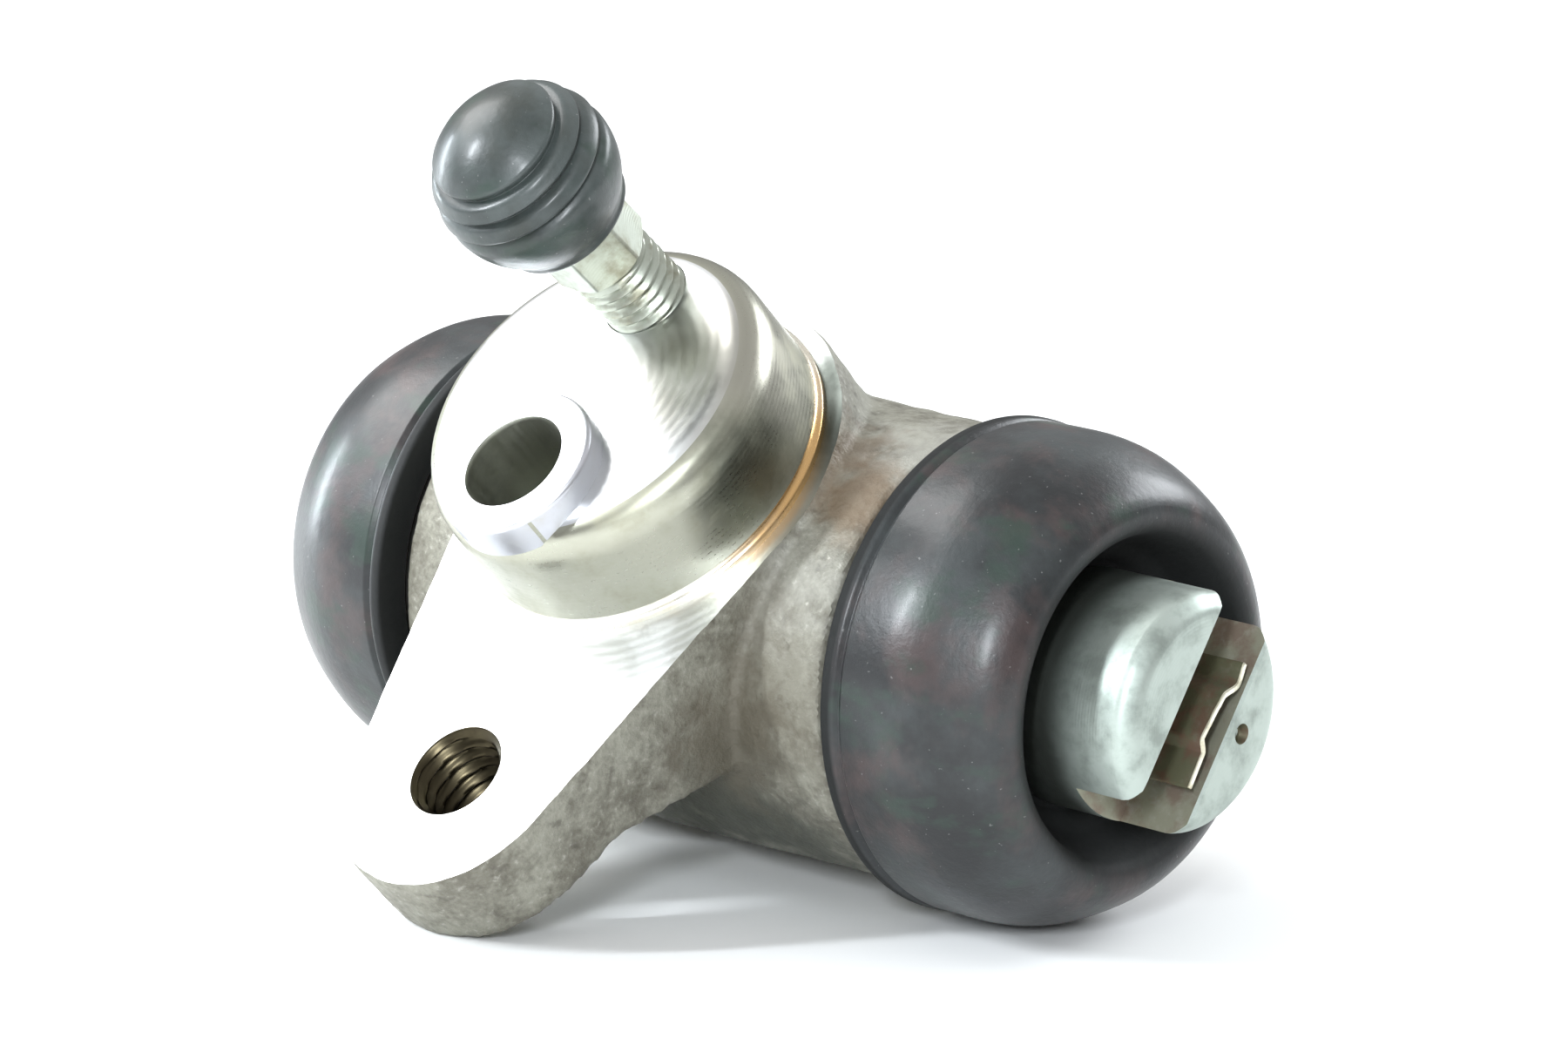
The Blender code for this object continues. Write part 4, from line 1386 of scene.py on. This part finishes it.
@dataclass
class DustCap:
    """The ringed rubber cap over the bleeder's nipple."""

    placing: Placing
    base: float = 11.3 * MM
    base_radius: float = 5.4 * MM
    centre: float = 16.75 * MM
    radius: float = 7.1 * MM
    step: float = 0.70 * MM
    latitudes: tuple[float, ...] = (40.0, 23.5, 7.5)
    hollow: float = 3.4 * MM
    roof: float = 19.9 * MM
    spacing: float = 4.0

    def on_ball(self, latitude: float, inset: float = 0.0, soft: float = 0.0) -> tuple[float, float, float]:
        """Gives a profile point on the cap's ball.

        Args:
            latitude: Its latitude in degrees.
            inset: How far inside the ball it lies.
            soft: The rounding at the point.

        Returns:
            Radius, height and rounding.
        """
        turn = math.radians(latitude)
        reach = self.radius - inset
        return reach * math.cos(turn), self.centre + reach * math.sin(turn), soft

    def dress(self) -> list[bpy.types.Object]:
        """Builds the cap with its finish.

        Returns:
            The cap alone.
        """
        corners = [(0.0, self.centre + self.radius, 0.0)]
        latitude = 90.0
        for ring in self.latitudes:
            while latitude - self.spacing > ring + 2.0:
                latitude -= self.spacing
                corners.append(self.on_ball(latitude))
            corners.append(self.on_ball(ring + 1.0, -0.10 * MM, 0.40 * MM))
            corners.append(self.on_ball(ring - 1.5, self.step, 0.15 * MM))
            latitude = ring - 6.0
            corners.append(self.on_ball(latitude, 0.10 * MM, 0.5 * MM))
        point = self.on_ball(latitude - self.spacing)
        while point[1] >= self.base + 1.1 * MM and point[0] >= self.base_radius:
            corners.append(point)
            latitude -= self.spacing
            point = self.on_ball(latitude - self.spacing)
        corners += [
            (self.base_radius, self.base + 0.8 * MM, 0.4 * MM),
            (self.base_radius, self.base, 0.35 * MM),
            (self.hollow, self.base, 0.3 * MM),
            (self.hollow, self.roof - 3 * MM, 0.3 * MM),
            (2.4 * MM, self.roof, 0.3 * MM),
        ]
        where = self.placing.bleeder()
        cap = Workpiece("dust_cap_skin", turned(corners, 192))
        rubber = MouldedRubber("cap_rubber_skin", base=(0.016, 0.022, 0.021), bloom=(0.056, 0.068, 0.066),
                               tint=(0.024, 0.028, 0.022), rough=0.31, sheen=0.2)
        cap.settle(where, 40.0).dress(rubber.make())
        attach(cap.made, "dust_cap")
        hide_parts("bleeder_dust_cap")
        return [cap.made]


@dataclass
class Boot:
    """One rolled rubber boot between the casting's end and the piston's groove."""

    placing: Placing
    side: Side
    rubber: bpy.types.Material
    lip_start: float = 24.0 * MM
    lip: float = 19.25 * MM
    lip_width: float = 1.35 * MM
    line: float = 0.35 * MM
    bead: float = 16.2 * MM
    bead_end: float = 26.1 * MM
    flange: float = 17.4 * MM
    fixed_until: float = 25.6 * MM
    follows_from: float = 31.0 * MM

    def profile(self) -> list[tuple[float, float, float]]:
        """Gives the boot's closed section, from the crest outwards.

        Returns:
            Its corners as radius, height and rounding.
        """
        groove = self.lip_start + self.lip_width
        outer = [
            (12.55, 38.15, 0.5), (13.1, 38.7, 0.5), (14.1, 38.9, 0.6), (15.3, 38.45, 0.7), (16.45, 37.3, 0.9),
            (17.6, 35.3, 1.2), (18.6, 33.1, 1.3), (19.1, 30.6, 1.4),
        ]
        inner = [
            (17.4, 30.4, 1.2), (16.6, 33.4, 1.2), (15.3, 36.0, 1.0), (14.2, 37.2, 0.6), (13.5, 36.8, 0.5),
            (12.6, 34.2, 0.6), (11.6, 32.6, 0.5), (10.3, 31.3, 0.3), (8.45, 31.1, 0.2), (8.3, 31.3, 0.2),
            (8.3, 32.7, 0.2), (9.5, 32.9, 0.3), (9.9, 33.3, 0.4), (11.1, 34.2, 0.5), (11.9, 35.9, 0.6),
        ]
        lip = [
            (self.lip - 0.15 * MM, groove + 1.6 * self.line, 0.12 * MM),
            (self.lip - 1.6 * self.line, groove + 0.5 * self.line, 0.1 * MM),
            (self.lip - 0.3 * self.line, groove - 0.6 * self.line, 0.2 * MM),
            (self.lip, groove - 1.6 * self.line, 0.2 * MM),
            (self.lip, self.lip_start, 0.3 * MM),
            (self.bead, self.lip_start, 0.2 * MM),
            (self.bead, self.bead_end, 0.2 * MM),
            (self.flange, self.bead_end, 0.1 * MM),
        ]
        scaled = [[(r * MM, x * MM, soft * MM) for r, x, soft in part] for part in (outer, inner)]
        return [*scaled[0], *lip, *scaled[1]]

    def dress(self) -> list[bpy.types.Object]:
        """Builds the boot with its finish.

        Returns:
            The boot alone.
        """
        piece = Workpiece(f"{self.side.value}_boot_skin", turned(self.profile(), 224, closed=True, steps=3))
        piece.settle(self.placing.outward(self.side), 40.0).dress(self.rubber)
        start = self.placing.origin + Vector((self.side.sign * self.fixed_until, 0.0, 0.0))
        end = self.placing.origin + Vector((self.side.sign * self.follows_from, 0.0, 0.0))
        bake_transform(piece.made)
        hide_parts(f"{self.side.value}_boot")
        return [piece.made]


@dataclass
class Piston:
    """One zinc-plated piston with its sawn slot and the leaf spring in it."""

    placing: Placing
    side: Side
    plate: bpy.types.Material
    stain: bpy.types.Material
    dark_stain: bpy.types.Material
    strip: bpy.types.Material
    head_start: float = 17.5 * MM
    head_end: float = 30.1 * MM
    head: float = 11.0 * MM
    groove: float = 8.0 * MM
    groove_end: float = 33.2 * MM
    nose: float = 9.2 * MM
    end: float = 45.3 * MM
    chamfer: float = 1.15 * MM
    slot_width: float = 6.4 * MM
    slot_depth: float = 6.1 * MM
    dimple: float = 0.75 * MM
    dimple_place: tuple[float, float] = (4.75 * MM, 0.6 * MM)
    leaf_thickness: float = 0.5 * MM
    leaf_recess: float = 0.3 * MM
    leaf_gap: float = 0.3 * MM
    leaf_path: tuple[tuple[float, float], ...] = (
        (5.3, 2.25), (3.7, 2.50), (2.0, 1.40), (0.4, 1.20), (-1.4, 1.05), (-2.4, 1.85), (-5.2, 1.95))

    def body(self) -> Workpiece:
        """Makes the piston with its slot and dimple.

        Returns:
            The piston.
        """
        turned_body = turned([
            (self.head, self.head_start, 0.5 * MM),
            (self.head, self.head_end, 0.5 * MM),
            (self.groove, self.head_end, 0.2 * MM),
            (self.groove, self.groove_end, 0.2 * MM),
            (self.nose, self.groove_end, 0.15 * MM),
            (self.nose, self.end - self.chamfer, 0.6 * MM),
            (self.nose - self.chamfer, self.end, 0.6 * MM),
        ], 192)
        floor = self.end - self.slot_depth
        half = self.slot_width / 2
        flare = 0.22 * MM
        wide, high = half + flare + MM, self.end + MM
        slot = prism([
            (-half, floor), (half, floor), (half, self.end - flare),
            (wide, high), (-wide, high), (-half, self.end - flare),
        ], self.nose + MM, "Y")
        mark = turned([
            (0.0, self.end - 0.8 * MM, 0.0),
            (0.5 * MM, self.end - 0.7 * MM, 0.2 * MM),
            (self.dimple, self.end - 0.1 * MM, 0.1 * MM),
            (self.dimple + 0.2 * MM, self.end + 0.3 * MM, 0.0),
        ], 32)
        moved(mark, Matrix.Translation((*self.dimple_place, 0.0)))
        return Workpiece(f"{self.side.value}_piston_body", turned_body).combine("DIFFERENCE", slot, mark)

    def choose(self, spot: Vector, normal: Vector) -> int:
        """Gives the slot's faces the stained finish.

        Args:
            spot: A face's middle in millimetres.
            normal: Its normal.

        Returns:
            The material slot.
        """
        in_slot = abs(spot.x) < self.slot_width / 2 / MM + 0.02
        deep = spot.z > (self.end - self.slot_depth) / MM - 0.05
        flat_end = normal.z > 0.9 and spot.z > (self.end - 0.1 * MM) / MM
        inside = math.hypot(spot.x, spot.y) < (self.nose - 0.02 * MM) / MM
        across, up = self.dimple_place
        marked = math.hypot(spot.x - across / MM, spot.y - up / MM) < 1.0 and normal.z < 0.95 and deep
        if marked and not in_slot:
            return 2
        return 1 if in_slot and deep and inside and not flat_end else 0

    def leaf(self) -> Workpiece:
        """Makes the wavy strip that stands along one wall of the slot.

        Returns:
            The strip.
        """
        path: list[Vector] = []
        for (y, x), (next_y, next_x) in zip(self.leaf_path, self.leaf_path[1:]):
            for i in range(8):
                share = i / 8
                ease = share * share * (3 - 2 * share)
                path.append(Vector((x + (next_x - x) * ease, y + (next_y - y) * share)) * MM)
        path.append(Vector((self.leaf_path[-1][1], self.leaf_path[-1][0])) * MM)
        edges: list[list[tuple[float, float]]] = [[], []]
        for i, here in enumerate(path):
            run = (path[min(i + 1, len(path) - 1)] - path[max(i - 1, 0)]).normalized()
            half = Vector((-run.y, run.x)) * (self.leaf_thickness / 2)
            edges[0].append(tuple(here + half))
            edges[1].append(tuple(here - half))
        outline = edges[0] + edges[1][::-1]
        low = self.end - self.slot_depth + self.leaf_gap
        high = self.end - self.leaf_recess
        rings = [[Vector((x, y, z)) for x, y in outline] for z in (low, high)]
        piece = Workpiece(f"{self.side.value}_leaf_strip", loft(rings))
        bevel = piece.made.modifiers.new("edges", "BEVEL")
        bevel.width = 0.12 * MM
        bevel.segments = 2
        bevel.limit_method = "ANGLE"
        piece.bake()
        return piece

    def dress(self) -> list[bpy.types.Object]:
        """Builds the piston and its leaf spring with their finishes.

        Returns:
            The piston and the leaf spring.
        """
        where = self.placing.piston(self.side)
        body = self.body().settle(where, 30.0).dress(self.plate, self.stain, self.dark_stain)
        body.zone(self.choose, where)
        leaf = self.leaf().settle(where, 40.0).dress(self.strip, self.dark_stain)
        leaf.zone(lambda _spot, normal: 0 if normal.z > 0.3 else 1, where)
        for piece, node, slot in ((body, "piston", "piston_zinc"), (leaf, "leaf_spring", "leaf_steel")):
            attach(piece.made, f"{self.side.value}_piston_set")
            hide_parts(f"{self.side.value}_{node}")
        return [body.made, leaf.made]


@dataclass
class ReturnSpring:
    """The coil spring between the expanders, in two halves."""

    placing: Placing
    coil: float = 4.4 * MM
    wire: float = 0.5 * MM
    turns: float = 3.0
    closed: float = 0.75
    steps: int = 48
    sides: int = 16

    def half(self, side: Side, reach: float) -> bmesh.types.BMesh:
        """Makes one half as a round wire wound from the middle outwards, its last turn closed flat.

        Args:
            side: The end of the bore that it runs to.
            reach: The distance from the middle to the spring's end.

        Returns:
            The wire's skin.
        """
        rings = []
        count = round(self.turns * self.steps)
        span = reach - self.wire
        for i in range(count + 1):
            turn = i / self.steps
            share = min(turn / (self.turns - self.closed), 1.0)
            angle = TURN * turn
            across = Vector((0.0, math.cos(angle), side.sign * math.sin(angle)))
            middle = across * self.coil + Vector((side.sign * span * share, 0.0, 0.0))
            leans = [TURN * k / self.sides for k in range(self.sides)]
            rings.append([middle + across * (self.wire * math.cos(lean))
                          + Vector((self.wire * math.sin(lean), 0.0, 0.0)) for lean in leans])
        return loft(rings)

    def dress(self) -> list[bpy.types.Object]:
        """Builds both halves with their finish.

        Returns:
            The right and the left half.
        """
        wire = DrawnSteel("spring_wire", (0.55, 0.55, 0.54), (0.28, 0.26, 0.23), rough=0.30).make()
        low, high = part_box("return_spring")
        made = []
        for side, far in ((Side.RIGHT, high.x), (Side.LEFT, low.x)):
            piece = Workpiece(f"{side.value}_spring_half", self.half(side, side.sign * far))
            piece.settle(Matrix.Translation(self.placing.origin), 60.0).dress(wire)
            start = self.placing.origin
            end = start + Vector((far, 0.0, 0.0))
            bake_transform(piece.made, "cylinder", f"{side.value}_cup_set", start=tuple(start), end=tuple(end))
            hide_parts("return_spring")
            made.append(piece.made)
        return made


@dataclass
class Internals:
    """The cups and expanders inside the bore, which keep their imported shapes."""

    placing: Placing

    def dress(self) -> list[bpy.types.Object]:
        """Gives each hidden piece its finish.

        Returns:
            The cups and expanders.
        """
        seal = MouldedRubber("seal_rubber_skin", base=(0.022, 0.022, 0.024), rough=0.30).make()
        pressed = MachinedSteel("pressed_sheet", self.placing.origin, self.placing.bore_axis,
                                bright=(0.62, 0.61, 0.58), dull=(0.38, 0.36, 0.31), rough=0.28).make()
        made = []
        for side in Side:
            for node, material in ((f"{side.value}_cup", seal), (f"{side.value}_cup_expander", pressed)):
                part = frame["nodes"][node]
                part.data.materials.clear()
                part.data.materials.append(material)
                made.append(part)
        return made


@dataclass
class Lamp:
    """A rectangular soft light aimed at the part.

    Attributes:
        name: The light's name.
        towards: The direction from the part to the light.
        distance: Its distance.
        size: Its width and height.
        power: Its power in watts.
        tint: Its colour.
    """

    name: str
    towards: tuple[float, float, float]
    distance: float
    size: tuple[float, float]
    power: float
    tint: Colour = (1.0, 1.0, 1.0)

    def hang(self, target: Vector) -> None:
        """Adds the light.

        Args:
            target: The point that it faces.
        """
        light = bpy.data.lights.new(self.name, "AREA")
        light.shape = "RECTANGLE"
        light.size, light.size_y = self.size
        light.energy = self.power
        light.color = self.tint
        holder = bpy.data.objects.new(self.name, light)
        bpy.context.scene.collection.objects.link(holder)
        away = Vector(self.towards).normalized()
        holder.location = target + away * self.distance
        holder.rotation_mode = "QUATERNION"
        holder.rotation_quaternion = away.to_track_quat("Z", "Y")


@dataclass
class Studio:
    """The pale floor, the soft lights and the camera."""

    placing: Placing
    azimuth: float = 42.93
    elevation: float = 12.96
    roll: float = -1.196
    stand: tuple[float, float, float] = (292.6 * MM, -312.2 * MM, 105.4 * MM)
    lens: float = 127.4
    sensor: float = 36.0
    floor_size: float = 6.0
    floor_drop: float = 0.02 * MM
    sky: float = 0.80
    horizon: float = 0.25
    full_sky_at: float = 0.75
    view_range: tuple[float, float] = (0.01, 20.0)
    paper: tuple[Colour, Colour] = ((0.93, 0.94, 0.935), (0.95, 0.955, 0.95))

    def camera(self) -> None:
        """Adds the camera where the photograph was taken from."""
        turn, rise, roll = (math.radians(a) for a in (self.azimuth, self.elevation, self.roll))
        look = Vector((-math.sin(turn) * math.cos(rise), math.cos(turn) * math.cos(rise), -math.sin(rise)))
        right = Vector((math.cos(turn), math.sin(turn), 0.0))
        down = look.cross(right)
        rolled_right = right * math.cos(roll) + down * math.sin(roll)
        rolled_down = down * math.cos(roll) - right * math.sin(roll)
        lens = bpy.data.cameras.new("studio_camera")
        lens.lens = self.lens
        lens.sensor_width = self.sensor
        lens.clip_start, lens.clip_end = self.view_range
        made = bpy.data.objects.new("studio_camera", lens)
        bpy.context.scene.collection.objects.link(made)
        made.matrix_world = Matrix.Translation(self.placing.origin + Vector(self.stand)) @ Matrix(
            (rolled_right, -rolled_down, -look)).transposed().to_4x4()
        bpy.context.scene.camera = made

    def floor(self) -> None:
        """Lays the pale floor."""
        work = bmesh.new()
        bmesh.ops.create_grid(work, x_segments=1, y_segments=1, size=self.floor_size / 2)
        ground = Workpiece("studio_floor", moved(work, Matrix.Translation((0.0, 0.0, -self.floor_drop)))).made
        kit = FinishKit("floor_paper")
        colour = kit.blend(kit.grain(60 * MM, 3.0), *self.paper)
        ground.data.materials.append(kit.shade(Base_Color=colour, Roughness=0.55))

    def world(self) -> None:
        """Sets plain surroundings, bright overhead and dimmer towards the horizon."""
        world = bpy.data.worlds.new("studio_world")
        bpy.context.scene.world = world
        world.use_nodes = True
        kit = NodeKit(world.node_tree)
        where = kit.node("ShaderNodeTexCoord").outputs["Generated"]
        height = kit.node("ShaderNodeSeparateXYZ", None, {0: where}).outputs["Z"]
        stops = ((0.0, (self.horizon,) * 3), (self.full_sky_at, (self.sky,) * 3))
        colour = kit.node("ShaderNodeValToRGB", {"stops": stops}, {0: height}).outputs[0]
        kit.feed(kit.tree.nodes["Background"].inputs["Color"], colour)

    def light(self) -> None:
        """Hangs a broad key over the milled faces and narrow panels for the rubber's highlights."""
        lamps = (
            Lamp("key_panel", (-0.66, -0.22, 0.72), 0.60, (0.34, 0.34), 2.7),
            Lamp("left_strip", (-0.46, -0.75, 0.48), 0.55, (0.032, 0.15), 2.6, (0.90, 0.95, 1.0)),
            Lamp("right_strip", (0.51, -0.77, 0.39), 0.60, (0.05, 0.14), 2.2, (0.90, 0.95, 1.0)),
            Lamp("far_left_panel", (-0.95, -0.22, 0.16), 0.60, (0.04, 0.24), 2.0, (0.86, 0.94, 1.0)),
            Lamp("back_panel", (0.20, 0.87, 0.50), 0.70, (0.44, 0.26), 3.6, (0.92, 0.96, 1.0)),
        )
        for lamp in lamps:
            lamp.hang(self.placing.origin)

    def set_up(self) -> None:
        """Builds the whole studio."""
        self.floor()
        self.world()
        self.light()
        self.camera()
        bpy.context.scene.view_settings.view_transform = "Standard"


def main() -> None:
    """Builds every sub-assembly and the studio, in order."""
    logging.basicConfig(level=logging.INFO, format="%(message)s")
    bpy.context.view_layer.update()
    placing = Placing()
    boot_rubber = MouldedRubber("boot_rubber_skin", painted_shade_fold=(placing.origin, placing.bore_axis)).make()
    plate = ZincPlate("piston_plate", placing.origin, placing.bore_axis, painted_shade_band=(37.0, 40.0)).make()
    stain = StainedSlot().make()
    dark_stain = StainedSlot("stained_leaf", (0.105, 0.105, 0.062), (0.125, 0.078, 0.052),
                             (0.16, 0.15, 0.11)).make()
    strip = DrawnSteel("leaf_strip_steel").make()
    assemblies: list[Assembly] = [Casting(placing), Bleeder(placing), DustCap(placing)]
    for side in Side:
        assemblies.append(Boot(placing, side, boot_rubber))
        assemblies.append(Piston(placing, side, plate, stain, dark_stain, strip))
    assemblies += [ReturnSpring(placing), Internals(placing)]
    for assembly in assemblies:
        for piece in assembly.dress():
            LOG.info("%s: %d faces", piece.name, len(piece.data.polygons))
    Studio(placing).set_up()


if __name__ == "__main__":
    main()
